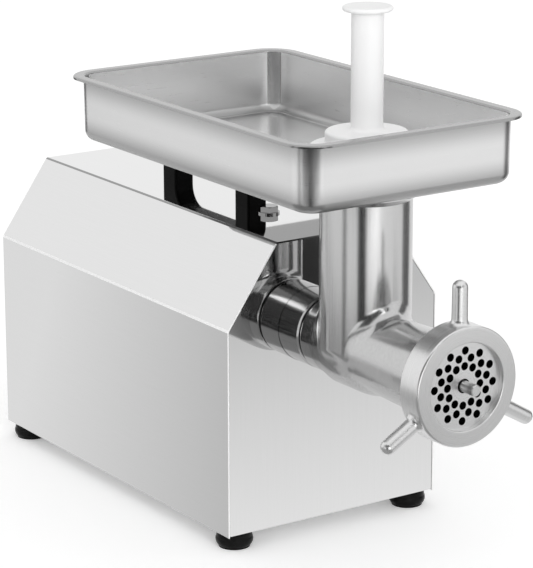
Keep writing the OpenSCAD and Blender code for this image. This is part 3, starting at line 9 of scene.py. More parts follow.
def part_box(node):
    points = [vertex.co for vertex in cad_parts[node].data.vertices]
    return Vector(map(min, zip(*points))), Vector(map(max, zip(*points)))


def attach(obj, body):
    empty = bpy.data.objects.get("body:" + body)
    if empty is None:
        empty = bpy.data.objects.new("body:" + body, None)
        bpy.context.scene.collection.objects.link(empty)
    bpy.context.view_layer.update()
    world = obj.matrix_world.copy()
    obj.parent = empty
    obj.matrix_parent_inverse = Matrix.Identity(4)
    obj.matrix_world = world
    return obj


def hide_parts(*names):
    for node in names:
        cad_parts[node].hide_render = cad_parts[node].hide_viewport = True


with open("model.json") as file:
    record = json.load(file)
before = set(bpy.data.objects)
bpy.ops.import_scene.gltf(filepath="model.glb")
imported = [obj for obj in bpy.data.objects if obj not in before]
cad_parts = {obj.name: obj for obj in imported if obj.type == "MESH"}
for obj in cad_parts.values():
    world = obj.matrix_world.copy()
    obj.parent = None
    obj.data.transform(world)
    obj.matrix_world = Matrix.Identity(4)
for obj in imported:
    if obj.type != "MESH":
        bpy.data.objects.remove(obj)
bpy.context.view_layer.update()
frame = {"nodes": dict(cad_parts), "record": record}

MM = 0.001
NEAR = 0.01 * MM       # two places closer than this are one
STRAIGHT = 0.9         # a normal's share along an axis, above which it points that way

# ---------------------------------------------------------------- places, from the frame

wrap_low, wrap_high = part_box("housing_wrap")
washer_low, washer_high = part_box("thrust_washer")
plunger_low, plunger_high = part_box("plunger")
ring_low, ring_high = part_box("ring_nut")
pan_low, pan_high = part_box("feed_pan")
head_low, head_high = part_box("head_casting")
seal_low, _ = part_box("neck_seal")
plate_low, plate_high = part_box("grinding_plate")
grip_low, grip_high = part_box("carry_handle")

# The housing's middle, front and lower edge, then the worm's axis, then the feed tube's.
middle_x = (wrap_low.x + wrap_high.x) / 2
front_y = wrap_low.y
edge_z = wrap_low.z
axis_x = (washer_low.x + washer_high.x) / 2
axis_z = (washer_low.z + washer_high.z) / 2
tube_y = (plunger_low.y + plunger_high.y) / 2


# ---------------------------------------------------------------- modelling helpers

def clear_selection():
    bpy.ops.object.select_all(action="DESELECT")


def pick(*objects):
    """Selects these objects and makes the first one active."""
    clear_selection()
    for piece in objects:
        piece.select_set(True)
    bpy.context.view_layer.objects.active = objects[0]


def edit_mode():
    bpy.ops.object.mode_set(mode="EDIT")


def object_mode():
    bpy.ops.object.mode_set(mode="OBJECT")


def edit_all(piece):
    """Opens a piece in edit mode with all of it selected."""
    pick(piece)
    edit_mode()
    bpy.ops.mesh.select_all(action="SELECT")


def extrude(shift):
    """Draws what is selected out by a shift."""
    bpy.ops.mesh.extrude_region_move(TRANSFORM_OT_translate={"value": shift})


def resize(grow, centre):
    """Scales what is selected round a centre."""
    bpy.ops.transform.resize(value=grow, center_override=centre)


def named(name):
    """Names the object that was just made, and its mesh."""
    piece = bpy.context.object
    piece.name = name
    piece.data.name = name
    return piece


def copied(piece):
    """A copy of a piece, with its own mesh."""
    twin = piece.copy()
    twin.data = piece.data.copy()
    bpy.context.scene.collection.objects.link(twin)
    return twin


def apply_place(piece):
    pick(piece)
    bpy.ops.object.transform_apply(location=True, rotation=True, scale=True)


def use(piece, kind, **settings):
    """Adds a modifier, sets it and applies it."""
    modifier = piece.modifiers.new(kind.title(), kind)
    for key, value in settings.items():
        setattr(modifier, key, value)
    pick(piece)
    bpy.ops.object.modifier_apply(modifier=modifier.name)


def cut(piece, tool):
    """Cuts a tool's shape out of a piece and takes the tool away."""
    use(piece, "BOOLEAN", object=tool, operation="DIFFERENCE", solver="EXACT")
    bpy.data.objects.remove(tool)


def trim(piece, place, normal, **settings):
    """Cuts a piece along a plane through a place."""
    edit_all(piece)
    bpy.ops.mesh.bisect(plane_co=place, plane_no=normal, **settings)
    object_mode()


def recalculate(piece):
    """Merges double points and turns all faces outwards."""
    edit_all(piece)
    bpy.ops.mesh.remove_doubles(threshold=NEAR)
    bpy.ops.mesh.normals_make_consistent(inside=False)
    object_mode()


def smooth(piece, angle=32):
    """Smooth shading below an angle, with broad flat faces kept flat."""
    pick(piece)
    bpy.ops.object.shade_smooth_by_angle(angle=math.radians(angle))
    use(piece, "WEIGHTED_NORMAL", mode="FACE_AREA", weight=100, keep_sharp=True)


def join(name, *pieces):
    pick(*pieces)
    bpy.ops.object.join()
    return named(name)


def turned(name, outline, centre, along, sides, closed=False):
    """A turned piece: a circle drawn out ring by ring through [radius, height] in metres.
    Along Y its heights count towards +Y."""
    clear_selection()
    radius, height = outline[0]
    fill = "NOTHING" if closed else "NGON"
    bpy.ops.mesh.primitive_circle_add(vertices=sides, radius=radius, fill_type=fill,
                                      location=(0, 0, height))
    piece = named(name)
    apply_place(piece)
    edit_all(piece)
    for next_radius, next_height in outline[1:] + (outline[:1] if closed else []):
        extrude((0, 0, next_height - height))
        grow = next_radius / radius
        resize((grow, grow, 1), (0, 0, next_height))
        radius, height = next_radius, next_height
    object_mode()
    if along == "Y":
        piece.rotation_euler = (-math.pi / 2, 0, 0)
    piece.location = centre
    apply_place(piece)
    recalculate(piece)
    smooth(piece)
    return piece


def arc(centre, radius, start, end, steps):
    """Points on an arc, in [radius, height] pairs, from a start to an end angle in degrees."""
    turns = [math.radians(start + (end - start) * i / steps) for i in range(steps + 1)]
    return [(centre[0] + radius * math.cos(a), centre[1] + radius * math.sin(a)) for a in turns]


def plane(name, middle, size, turn=(0, 0, 0)):
    """A flat rectangle with its middle at a place."""
    clear_selection()
    bpy.ops.mesh.primitive_plane_add(size=1, location=middle, rotation=turn)
    piece = named(name)
    piece.scale = (*size, 1)
    return piece


def block(name, low, high):
    """A box between two corners."""
    low, high = Vector(low), Vector(high)
    clear_selection()
    bpy.ops.mesh.primitive_cube_add(size=1, location=(low + high) / 2)
    piece = named(name)
    piece.scale = high - low
    apply_place(piece)
    return piece


def drum(name, radius, start, end, along="Y"):
    """A plain cylinder between two points."""
    start, end = Vector(start), Vector(end)
    clear_selection()
    turn = {"Y": (math.pi / 2, 0, 0), "Z": (0, 0, 0)}[along]
    bpy.ops.mesh.primitive_cylinder_add(vertices=128, radius=radius, depth=(end - start).length,
                                        location=(start + end) / 2, rotation=turn)
    piece = named(name)
    apply_place(piece)
    return piece


def empty_selection(piece, kind):
    """Empties a piece's own selection of edges or faces, ready to be filled in object mode."""
    pick(piece)
    edit_mode()
    bpy.ops.mesh.select_mode(type=kind)
    bpy.ops.mesh.select_all(action="DESELECT")
    object_mode()


def select_edges(piece, wanted):
    """Selects, in edit mode, the edges whose two ends the function wants."""
    empty_selection(piece, "EDGE")
    points = piece.data.vertices
    for edge in piece.data.edges:
        a, b = (points[i].co for i in edge.vertices)
        edge.select = wanted(a, b)
    edit_mode()


def select_faces(piece, wanted):
    """Selects, in edit mode, the faces that the function wants by centre and normal."""
    empty_selection(piece, "FACE")
    for face in piece.data.polygons:
        face.select = wanted(face.center, face.normal)
    edit_mode()


def round_edges(piece, wanted, radius, segments):
    select_edges(piece, wanted)
    bpy.ops.mesh.bevel(offset=radius, segments=segments, affect="EDGES")
    object_mode()


def drop_faces(piece, wanted):
    select_faces(piece, wanted)
    bpy.ops.mesh.delete(type="FACE")
    object_mode()


def at_height(a, b, height, axis=2):
    """Whether both ends of an edge lie at one height along an axis."""
    return abs(a[axis] - height) < NEAR and abs(b[axis] - height) < NEAR


def coordinates(piece):
    points = np.empty(len(piece.data.vertices) * 3)
    piece.data.vertices.foreach_get("co", points)
    return points.reshape(-1, 3)


def move_points(piece, points):
    piece.data.vertices.foreach_set("co", points.ravel())
    piece.data.update()


def finish_piece(piece, materials, body, node):
    """Gives a piece its materials, its body and its slot, in place of a CAD node."""
    piece.data.materials.clear()
    for material in materials:
        piece.data.materials.append(material)
    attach(piece, body)
    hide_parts(node)


def dress_faces(piece, materials, choose):
    """Gives each face that one of the piece's materials which the function chooses for it."""
    for face in piece.data.polygons:
        face.material_index = materials.index(choose(face))


# ---------------------------------------------------------------- materials

MARKS_LOW, MARKS_HIGH = 0.3, 0.7
BRUSH_HEIGHT = 0.2 * MM
FINE_HEIGHT = 0.1 * MM
WALL_LEAN = 0.4
HOLE_BLACK = (0.004, 0.004, 0.004, 1)


def add_node(nodes, kind, values=None, **settings):
    """A shader node of a kind, with its settings and the values of its inputs."""
    node = nodes.new("ShaderNode" + kind)
    for key, setting in settings.items():
        setattr(node, key, setting)
    for socket, value in (values or {}).items():
        node.inputs[socket].default_value = value
    return node


def new_material(name, color, metallic, roughness, specular=0.5):
    material = bpy.data.materials.new(name)
    material.use_nodes = True
    shader = material.node_tree.nodes["Principled BSDF"]
    for socket, value in (("Base Color", (*color, 1)), ("Metallic", metallic),
                          ("Roughness", roughness), ("Specular IOR Level", specular)):
        shader.inputs[socket].default_value = value
    return material, material.node_tree, shader


def new_group(name, inputs, output):
    """An empty node group with its sockets, and the two nodes that lead in and out."""
    group = bpy.data.node_groups.new(name, "ShaderNodeTree")
    for socket, kind in inputs.items():
        group.interface.new_socket(socket, in_out="INPUT", socket_type="NodeSocket" + kind)
    group.interface.new_socket(output, in_out="OUTPUT", socket_type="NodeSocketFloat")
    return group, group.nodes.new("NodeGroupInput"), group.nodes.new("NodeGroupOutput")


def brush_group():
    """Brush marks: noise drawn out along one direction, as a value round 0.5."""
    group, inside, outside = new_group(
        "brush_marks", {"Stretch": "Vector", "Scale": "Float"}, "Marks")
    nodes, links = group.nodes, group.links
    place = add_node(nodes, "TexCoord")
    stretch = add_node(nodes, "VectorMath", operation="MULTIPLY")
    fine = add_node(nodes, "TexNoise", {"Detail": 4, "Roughness": 0.65})
    links.new(place.outputs["Object"], stretch.inputs[0])
    links.new(inside.outputs["Stretch"], stretch.inputs[1])
    links.new(stretch.outputs["Vector"], fine.inputs["Vector"])
    links.new(inside.outputs["Scale"], fine.inputs["Scale"])
    links.new(fine.outputs["Fac"], outside.inputs["Marks"])
    return group


def turning_group():
    """Lathe marks: rings round an axis along Y through Centre, as a value round 0.5."""
    group, inside, outside = new_group(
        "turning_marks", {"Centre": "Vector", "Scale": "Float"}, "Marks")
    nodes, links = group.nodes, group.links
    place = add_node(nodes, "TexCoord")
    shift = add_node(nodes, "VectorMath", operation="SUBTRACT")
    flat = add_node(nodes, "VectorMath", {1: (1, 0, 1)}, operation="MULTIPLY")
    reach = add_node(nodes, "VectorMath", operation="LENGTH")
    rings = add_node(nodes, "TexNoise", {"Detail": 4, "Roughness": 0.7}, noise_dimensions="1D")
    links.new(place.outputs["Object"], shift.inputs[0])
    links.new(inside.outputs["Centre"], shift.inputs[1])
    links.new(shift.outputs["Vector"], flat.inputs[0])
    links.new(flat.outputs["Vector"], reach.inputs[0])
    links.new(reach.outputs["Value"], rings.inputs["W"])
    links.new(inside.outputs["Scale"], rings.inputs["Scale"])
    links.new(rings.outputs["Fac"], outside.inputs["Marks"])
    return group


def mould_group():
    """The texture of a mould: fine noise that is the same all round, as a value round 0.5."""
    group, inside, outside = new_group("mould_texture", {"Scale": "Float"}, "Marks")
    nodes, links = group.nodes, group.links
    place = add_node(nodes, "TexCoord")
    fine = add_node(nodes, "TexNoise", {"Detail": 3})
    links.new(place.outputs["Object"], fine.inputs["Vector"])
    links.new(inside.outputs["Scale"], fine.inputs["Scale"])
    links.new(fine.outputs["Fac"], outside.inputs["Marks"])
    return group


def fall_group():
    """A smooth fall along an axis, from 1 at Start to Share at End."""
    group, inside, outside = new_group(
        "fall", {"Axis": "Vector", "Start": "Float", "End": "Float", "Share": "Float"}, "Fall")
    nodes, links = group.nodes, group.links
    place = add_node(nodes, "TexCoord")
    along = add_node(nodes, "VectorMath", operation="DOT_PRODUCT")
    ramp = add_node(nodes, "MapRange", {"To Min": 1}, interpolation_type="SMOOTHSTEP")
    links.new(place.outputs["Object"], along.inputs[0])
    links.new(inside.outputs["Axis"], along.inputs[1])
    links.new(along.outputs["Value"], ramp.inputs["Value"])
    links.new(inside.outputs["Start"], ramp.inputs["From Min"])
    links.new(inside.outputs["End"], ramp.inputs["From Max"])
    links.new(inside.outputs["Share"], ramp.inputs["To Max"])
    links.new(ramp.outputs["Result"], outside.inputs["Fall"])
    return group


BRUSH_MARKS = brush_group()
TURNING_MARKS = turning_group()
MOULD_TEXTURE = mould_group()
FALL = fall_group()


def place_group(tree, group, **values):
    """Places a group in a material with its own values, and returns what it puts out."""
    return add_node(tree.nodes, "Group", values, node_tree=group).outputs[0]


def span(tree, marks, low, high):
    """Spreads marks between two numbers."""
    node = add_node(tree.nodes, "MapRange", {"From Min": MARKS_LOW, "From Max": MARKS_HIGH,
                                             "To Min": low, "To Max": high})
    tree.links.new(marks, node.inputs["Value"])
    return node.outputs["Result"]


def vary_roughness(tree, shader, marks, roughness, spread):
    tree.links.new(span(tree, marks, roughness - spread, roughness + spread),
                   shader.inputs["Roughness"])


def tint(tree, shader, marks, color, spread):
    """Lets marks lighten and darken a colour a little."""
    darker = (*(c * (1 - spread) for c in color), 1)
    lighter = (*(min(c * (1 + spread), 1) for c in color), 1)
    mix = add_node(tree.nodes, "Mix", {"A": darker, "B": lighter}, data_type="RGBA")
    tree.links.new(span(tree, marks, 0, 1), mix.inputs["Factor"])
    tree.links.new(mix.outputs["Result"], shader.inputs["Base Color"])


def raise_bump(tree, shader, marks, depth, distance):
    bump = add_node(tree.nodes, "Bump", {"Strength": depth, "Distance": distance})
    tree.links.new(marks, bump.inputs["Height"])
    tree.links.new(bump.outputs["Normal"], shader.inputs["Normal"])


def brushed(name, color, roughness, stretch, scale, spread=0.03, depth=0.0, shade=0.03):
    """A metal whose brush marks show in its colour, its roughness and its surface."""
    material, tree, shader = new_material(name, color, 1.0, roughness)
    marks = place_group(tree, BRUSH_MARKS, Stretch=stretch, Scale=scale)
    vary_roughness(tree, shader, marks, roughness, spread)
    tint(tree, shader, marks, color, shade)
    if depth:
        raise_bump(tree, shader, marks, depth, BRUSH_HEIGHT)
    return material


def pan_metal(name, value, roughness, stretch, scale):
    """The brushed sheet of the feed pan, in one of its lighter or darker copies that paint its
    light and shade.
    """
    return brushed(name, grey(value), roughness, stretch, scale, depth=0.006, shade=0.015)


def paint_shade_along(material, axis, start, end, share):
    """Paints shade into a metal's colour: along an axis, the colour falls from full at start to a
    share of it at end.
    """
    tree = material.node_tree
    shader = tree.nodes["Principled BSDF"]
    scale = add_node(tree.nodes, "VectorMath", operation="SCALE")
    unshaded = shader.inputs["Base Color"].links[0].from_socket
    fall = place_group(tree, FALL, Axis=axis, Start=start, End=end, Share=share)
    tree.links.new(unshaded, scale.inputs[0])
    tree.links.new(fall, scale.inputs["Scale"])
    tree.links.new(scale.outputs["Vector"], shader.inputs["Base Color"])


def lathed(name, color, roughness, spread, depth, shade=0.04):
    """A metal with lathe marks round the worm's axis."""
    material, tree, shader = new_material(name, color, 1.0, roughness)
    marks = place_group(tree, TURNING_MARKS, Centre=(axis_x, 0, axis_z), Scale=3000)
    vary_roughness(tree, shader, marks, roughness, spread)
    tint(tree, shader, marks, color, shade)
    raise_bump(tree, shader, marks, depth, FINE_HEIGHT)
    return material


def pierced(name, color, roughness, spread, depth):
    """The lathed face of a plate whose holes have walls black with shadow."""
    material = lathed(name, color, roughness, spread, depth)
    nodes, links = material.node_tree.nodes, material.node_tree.links
    shader = nodes["Principled BSDF"]
    place = add_node(nodes, "TexCoord")
    split = add_node(nodes, "SeparateXYZ")
    lean = add_node(nodes, "Math", operation="ABSOLUTE")
    wall = add_node(nodes, "Math", {1: WALL_LEAN}, operation="LESS_THAN")
    mix = add_node(nodes, "Mix", {"B": HOLE_BLACK}, data_type="RGBA")
    face = shader.inputs["Base Color"].links[0].from_socket
    links.new(place.outputs["Normal"], split.inputs[0])
    links.new(split.outputs["Y"], lean.inputs[0])
    links.new(lean.outputs[0], wall.inputs[0])
    links.new(wall.outputs[0], mix.inputs["Factor"])
    links.new(face, mix.inputs["A"])
    links.new(mix.outputs["Result"], shader.inputs["Base Color"])
    return material


def moulded(name, color, roughness, depth=0.15, scale=900, specular=0.5):
    """A plastic or rubber with the fine texture of its mould."""
    material, tree, shader = new_material(name, color, 0.0, roughness, specular)
    marks = place_group(tree, MOULD_TEXTURE, Scale=scale)
    spread = roughness * 0.1
    vary_roughness(tree, shader, marks, roughness, spread)
    raise_bump(tree, shader, marks, depth, FINE_HEIGHT)
    return material


def grey(value):
    return (value, value, value)


ALONG_Y, ALONG_Z = (0, 1, 0), (0, 0, 1)

# How far brush marks are drawn out: the smaller number is the direction they run in.
UPRIGHT = (1, 1, 0.015)
ALONG_BODY = (1, 0.015, 1)
ROUND_ABOUT = (0.02, 0.02, 1)
ROUND_THE_RING = (0.001, 1, 0.001)
ROUND_THE_CORE = (0.1, 1, 0.1)
EVEN = (1, 1, 1)

# Each metal: name, colour, roughness, direction of its marks and their scale. The head's colour is
# # darkened towards the neck, and the pan's towards its rim and its floor, as painted shade.
SATIN_SHEET = brushed("satin_sheet", grey(0.765), 0.03, ALONG_BODY, 1200, spread=0.012, shade=0.01)
MIRROR_SHEET = brushed("mirror_sheet", grey(0.80), 0.03, UPRIGHT, 900, spread=0.01, shade=0.01)
HEAD_STEEL = brushed("head_steel", grey(0.56), 0.21, UPRIGHT, 700,
                     spread=0.05, depth=0.07, shade=0.06)
# Painted shade: the head's colour falls towards the neck.
paint_shade_along(HEAD_STEEL, ALONG_Y, tube_y - 2 * MM, tube_y + 34 * MM, 0.65)
NECK_STEEL = brushed("neck_steel", grey(0.45), 0.16, ALONG_BODY, 700, spread=0.04)
RING_SIDE = brushed("ring_side", grey(0.76), 0.3, ROUND_THE_RING, 2500, spread=0.05, depth=0.03)
RING_STEEL = lathed("ring_steel", grey(0.68), 0.3, spread=0.05, depth=0.02, shade=0.03)
PLATE_STEEL = pierced("plate_steel", grey(0.74), 0.3, spread=0.04, depth=0.02)
# One sheet in lighter and darker copies for outside, inside, corners, rim and floor: painted light
# and shade.
PAN_STEEL = pan_metal("pan_steel", 0.78, 0.3, ROUND_ABOUT, 1800)
# Painted shade: the outside darkens towards its floor and its rim, the inside towards its floor.
paint_shade_along(PAN_STEEL, ALONG_Z, pan_low.z + 26 * MM, pan_low.z + 3 * MM, 0.5)
paint_shade_along(PAN_STEEL, ALONG_Z, pan_high.z - 26 * MM, pan_high.z - 1 * MM, 0.55)
PAN_INSIDE = pan_metal("pan_inside", 1.0, 0.3, ROUND_ABOUT, 1800)
paint_shade_along(PAN_INSIDE, ALONG_Z, pan_low.z + 40 * MM, pan_low.z + 4 * MM, 0.65)
paint_shade_along(PAN_INSIDE, ALONG_Z, pan_low.z + 11 * MM, pan_low.z + 4 * MM, 0.55)
PAN_CORNER = pan_metal("pan_corner", 0.5, 0.25, ROUND_ABOUT, 1800)
PAN_RIM = pan_metal("pan_rim", 0.38, 0.25, ALONG_BODY, 1200)
PAN_FLOOR = pan_metal("pan_floor", 0.6, 0.25, ALONG_BODY, 1200)
# Near black on the top of the housing's front edge: painted shade in the seam above the front
# panel.
SEAM_SHADE = brushed("seam_shade", grey(0.08), 0.25, EVEN, 900, shade=0.01)
FOLD_SHADE = brushed("fold_shade", grey(0.3), 0.2, ALONG_BODY, 900, shade=0.01)
CHROME = brushed("chrome", grey(0.3), 0.08, EVEN, 900, spread=0.01, shade=0.01)
CUTTER_STEEL = brushed("cutter_steel", (0.45, 0.45, 0.46), 0.3, EVEN, 800, spread=0.05, depth=0.05)
SCREW_STEEL = brushed("screw_steel", (0.62, 0.62, 0.63), 0.18, EVEN, 900, spread=0.05, depth=0.05)
GEAR_STEEL = brushed("gear_steel", (0.5, 0.5, 0.52), 0.3, EVEN, 800, spread=0.05, depth=0.05)
BEARING_STEEL = brushed("bearing_steel", (0.62, 0.62, 0.64), 0.15, EVEN, 800, depth=0.02)
ALLOY = brushed("gearbox_alloy", grey(0.5), 0.45, EVEN, 400, spread=0.06, depth=0.2, shade=0.08)
LAMINATIONS = brushed("lamination_steel", (0.33, 0.33, 0.35), 0.5, ROUND_THE_CORE, 1500,
                      spread=0.08, depth=0.3)
DARK_STEEL = brushed("dark_steel", (0.06, 0.06, 0.065), 0.45, EVEN, 700, spread=0.06, depth=0.1)

# Each plastic or rubber: name, colour and roughness, then how deep and fine its texture is.
BLACK_PLASTIC = moulded("black_plastic", grey(0.004), 0.3, depth=0.05, specular=0.04)
WHITE_PLASTIC = moulded("white_plastic", grey(0.87), 0.38, depth=0.04, scale=400)
# Not a plastic: a near-white finish on the housing sheet's front edge and side fold, a painted
# highlight.
EDGE_HIGHLIGHT = moulded("edge_highlight", grey(0.92), 0.4, depth=0.05)
GREEN_PLASTIC = moulded("green_plastic", (0.02, 0.26, 0.08), 0.25)
RED_PLASTIC = moulded("red_plastic", (0.5, 0.02, 0.015), 0.25)
CREAM_PLASTIC = moulded("cream_plastic", (0.78, 0.72, 0.58), 0.45)
NYLON = moulded("nylon", (0.82, 0.79, 0.68), 0.45)
RUBBER = moulded("foot_rubber", grey(0.004), 0.3, depth=0.1, scale=700, specular=0.12)
ENAMEL = moulded("winding_enamel", (0.35, 0.11, 0.03), 0.35, depth=0.6, scale=300)

SLOT_MATERIALS = {
    "satin_sheet": SATIN_SHEET, "mirror_sheet": MIRROR_SHEET, "cast_steel": NECK_STEEL,
    "pan_steel": PAN_STEEL, "cutter_steel": CUTTER_STEEL, "screw_steel": SCREW_STEEL,
    "dark_steel": DARK_STEEL, "white_plastic": WHITE_PLASTIC, "black_plastic": BLACK_PLASTIC,
    "green_plastic": GREEN_PLASTIC, "red_plastic": RED_PLASTIC, "foot_rubber": RUBBER,
    "gearbox_alloy": ALLOY, "gear_steel": GEAR_STEEL, "bearing_steel": BEARING_STEEL,
    "lamination_steel": LAMINATIONS, "winding_enamel": ENAMEL, "cream_plastic": CREAM_PLASTIC,
    "nylon": NYLON,
}
NODE_MATERIALS = {"grinding_plate": PLATE_STEEL, "top_bolt": CHROME, "worm_stud": RING_STEEL}


def dress_nodes():
    """Gives every CAD node its own material, or the one of its slot."""
    slots = {part["node"]: part["material_slot"] for part in frame["record"]["subparts"]}
    for node, piece in frame["nodes"].items():
        piece.data.materials.clear()
        piece.data.materials.append(NODE_MATERIALS.get(node, SLOT_MATERIALS[slots[node]]))


# ---------------------------------------------------------------- studio

CAMERA_YAW = math.radians(33.98)
CAMERA_PITCH = math.radians(15.47)
CAMERA_ROLL = math.radians(0.11)
CAMERA_AIM = Vector((middle_x - 0.0721, front_y, edge_z + 0.2313))
CAMERA_REACH = 2.3843
CAMERA_LENS = 171.13
FLOOR_WHITE = (0.97, 0.97, 0.97, 1)
SKY = 0.86


def around(turn, reach, height=0):
    """A place round the head, turned from the camera's side towards its right."""
    angle = math.radians(turn) - CAMERA_YAW
    return Vector((axis_x + reach * math.sin(angle), tube_y - reach * math.cos(angle), height))


def camera():
    away = Vector((-math.sin(CAMERA_YAW) * math.cos(CAMERA_PITCH),
                   -math.cos(CAMERA_YAW) * math.cos(CAMERA_PITCH), math.sin(CAMERA_PITCH)))
    lens = bpy.data.cameras.new("camera")
    lens.lens = CAMERA_LENS
    lens.sensor_width = 36
    piece = bpy.data.objects.new("camera", lens)
    bpy.context.scene.collection.objects.link(piece)
    piece.location = CAMERA_AIM + CAMERA_REACH * away
    piece.rotation_euler = (math.pi / 2 - CAMERA_PITCH, CAMERA_ROLL, -CAMERA_YAW)
    bpy.context.scene.camera = piece


def bare_nodes(owner, output):
    """The emptied nodes of a material or a world, their links and a new output node."""
    owner.use_nodes = True
    nodes, links = owner.node_tree.nodes, owner.node_tree.links
    nodes.clear()
    return nodes, links, add_node(nodes, output)


def rays(nodes, links, weights):
    """A sum of Light Path outputs, each times its weight."""
    path = add_node(nodes, "LightPath")
    total = None
    for ray, weight in weights.items():
        part = add_node(nodes, "Math", {1: weight}, operation="MULTIPLY")
        links.new(path.outputs[ray], part.inputs[0])
        if total:
            add = add_node(nodes, "Math")
            links.new(total, add.inputs[0])
            links.new(part.outputs[0], add.inputs[1])
            total = add.outputs[0]
        else:
            total = part.outputs[0]
    return total


def floor():
    """A white floor that takes shadows, lifted to white for the camera and in metal."""
    clear_selection()
    bpy.ops.mesh.primitive_plane_add(size=40, location=(0, 0, 0))
    piece = named("floor")
    white = bpy.data.materials.new("floor_white")
    nodes, links, out = bare_nodes(white, "OutputMaterial")
    add = add_node(nodes, "AddShader")
    matt = add_node(nodes, "BsdfDiffuse", {"Color": FLOOR_WHITE})
    glow = add_node(nodes, "Emission")
    lift = rays(nodes, links, {"Is Camera Ray": 0.21, "Is Glossy Ray": 0.12,
                               "Is Transmission Ray": 0.12})
    links.new(lift, glow.inputs["Strength"])
    links.new(matt.outputs[0], add.inputs[0])
    links.new(glow.outputs[0], add.inputs[1])
    links.new(add.outputs[0], out.inputs["Surface"])
    piece.data.materials.append(white)


def sky():
    """A plain white world: it lights with the strength SKY, and looks full white."""
    world = bpy.data.worlds.new("studio")
    bpy.context.scene.world = world
    nodes, links, out = bare_nodes(world, "OutputWorld")
    light = add_node(nodes, "Background", {"Color": (1, 1, 1, 1)})
    base = add_node(nodes, "Math", {0: SKY})
    lift = rays(nodes, links, {"Is Camera Ray": 1 - SKY, "Is Glossy Ray": 1 - SKY,
                               "Is Transmission Ray": 1 - SKY})
    links.new(lift, base.inputs[1])
    links.new(base.outputs[0], light.inputs["Strength"])
    links.new(light.outputs[0], out.inputs["Surface"])


def lamp(name, place, aim, size, power, in_metal=True):
    light = bpy.data.lights.new(name, "AREA")
    light.shape = "RECTANGLE"
    light.size, light.size_y = size
    light.energy = power
    piece = bpy.data.objects.new(name, light)
    bpy.context.scene.collection.objects.link(piece)
    piece.location = place
    piece.rotation_euler = (Vector(aim) - Vector(place)).to_track_quat("-Z", "Y").to_euler()
    piece.visible_glossy = in_metal


def card_material(tone):
    """A card that only shows in metal: anything else passes through it."""
    name = "card_" + str(round(tone * 100))
    found = bpy.data.materials.get(name)
    if found:
        return found
    material = bpy.data.materials.new(name)
    nodes, links, out = bare_nodes(material, "OutputMaterial")
    mix = add_node(nodes, "MixShader")
    clear = add_node(nodes, "BsdfTransparent")
    glow = add_node(nodes, "Emission", {"Strength": tone})
    path = add_node(nodes, "LightPath")
    links.new(path.outputs["Is Glossy Ray"], mix.inputs[0])
    links.new(clear.outputs[0], mix.inputs[1])
    links.new(glow.outputs[0], mix.inputs[2])
    links.new(mix.outputs[0], out.inputs["Surface"])
    return material


def card(name, start, end, low, high, tone):
    """A standing card between two places on the floor, from a low to a high edge."""
    run = end - start
    middle = (start + end) / 2
    piece = plane(name, (middle.x, middle.y, (low + high) / 2), (run.length, high - low),
                  (math.pi / 2, 0, math.atan2(run.y, run.x)))
    piece.data.materials.append(card_material(tone))


def fading(material, tone, start, end, end_tone):
    """A copy of a card's material whose tone changes between two places on the floor."""
    material = material.copy()
    nodes, links = material.node_tree.nodes, material.node_tree.links
    run = Vector(end) - Vector(start)
    across = (run.x / run.length_squared, run.y / run.length_squared, 0)
    place = add_node(nodes, "TexCoord")
    shift = add_node(nodes, "VectorMath", {1: (*start, 0)}, operation="SUBTRACT")
    share = add_node(nodes, "VectorMath", {1: across}, operation="DOT_PRODUCT")
    fade = add_node(nodes, "MapRange", {"To Min": tone, "To Max": end_tone})
    links.new(place.outputs["Object"], shift.inputs[0])
    links.new(shift.outputs["Vector"], share.inputs[0])
    links.new(share.outputs["Value"], fade.inputs["Value"])
    links.new(fade.outputs["Result"], nodes["Emission"].inputs["Strength"])
    return material


def lay(piece, height, tone, *fade):
    """Finishes a lying card: at its height, with one tone or one that fades to another."""
    apply_place(piece)
    piece.data.transform(Matrix.Translation((0, 0, height)))
    material = card_material(tone)
    piece.data.materials.append(fading(material, tone, *fade) if fade else material)


def lying_card(name, low, high, height, tone, *fade):
    """A lying card between two corners, at a height."""
    middle = ((low[0] + high[0]) / 2, (low[1] + high[1]) / 2, 0)
    size = (high[0] - low[0], high[1] - low[1])
    lay(plane(name, middle, size), height, tone, *fade)


def lying_strip(name, start, end, width, height, tone):
    """A lying card along a line on the floor."""
    start, end = Vector(start), Vector(end)
    run = end - start
    strip = plane(name, (*(start + end) / 2, 0), (run.length, width),
                  (0, 0, math.atan2(run.y, run.x)))
    lay(strip, height, tone)


def half_disc(name, radius, corner, height, tone):
    """A disc round the head, of which only the part on the camera's left of a corner stays."""
    clear_selection()
    bpy.ops.mesh.primitive_circle_add(vertices=96, radius=radius, fill_type="NGON",
                                      location=(axis_x, tube_y, 0))
    piece = named(name)
    lay(piece, height, tone)
    trim(piece, corner, (math.cos(CAMERA_YAW), math.sin(CAMERA_YAW), 0), clear_outer=True)


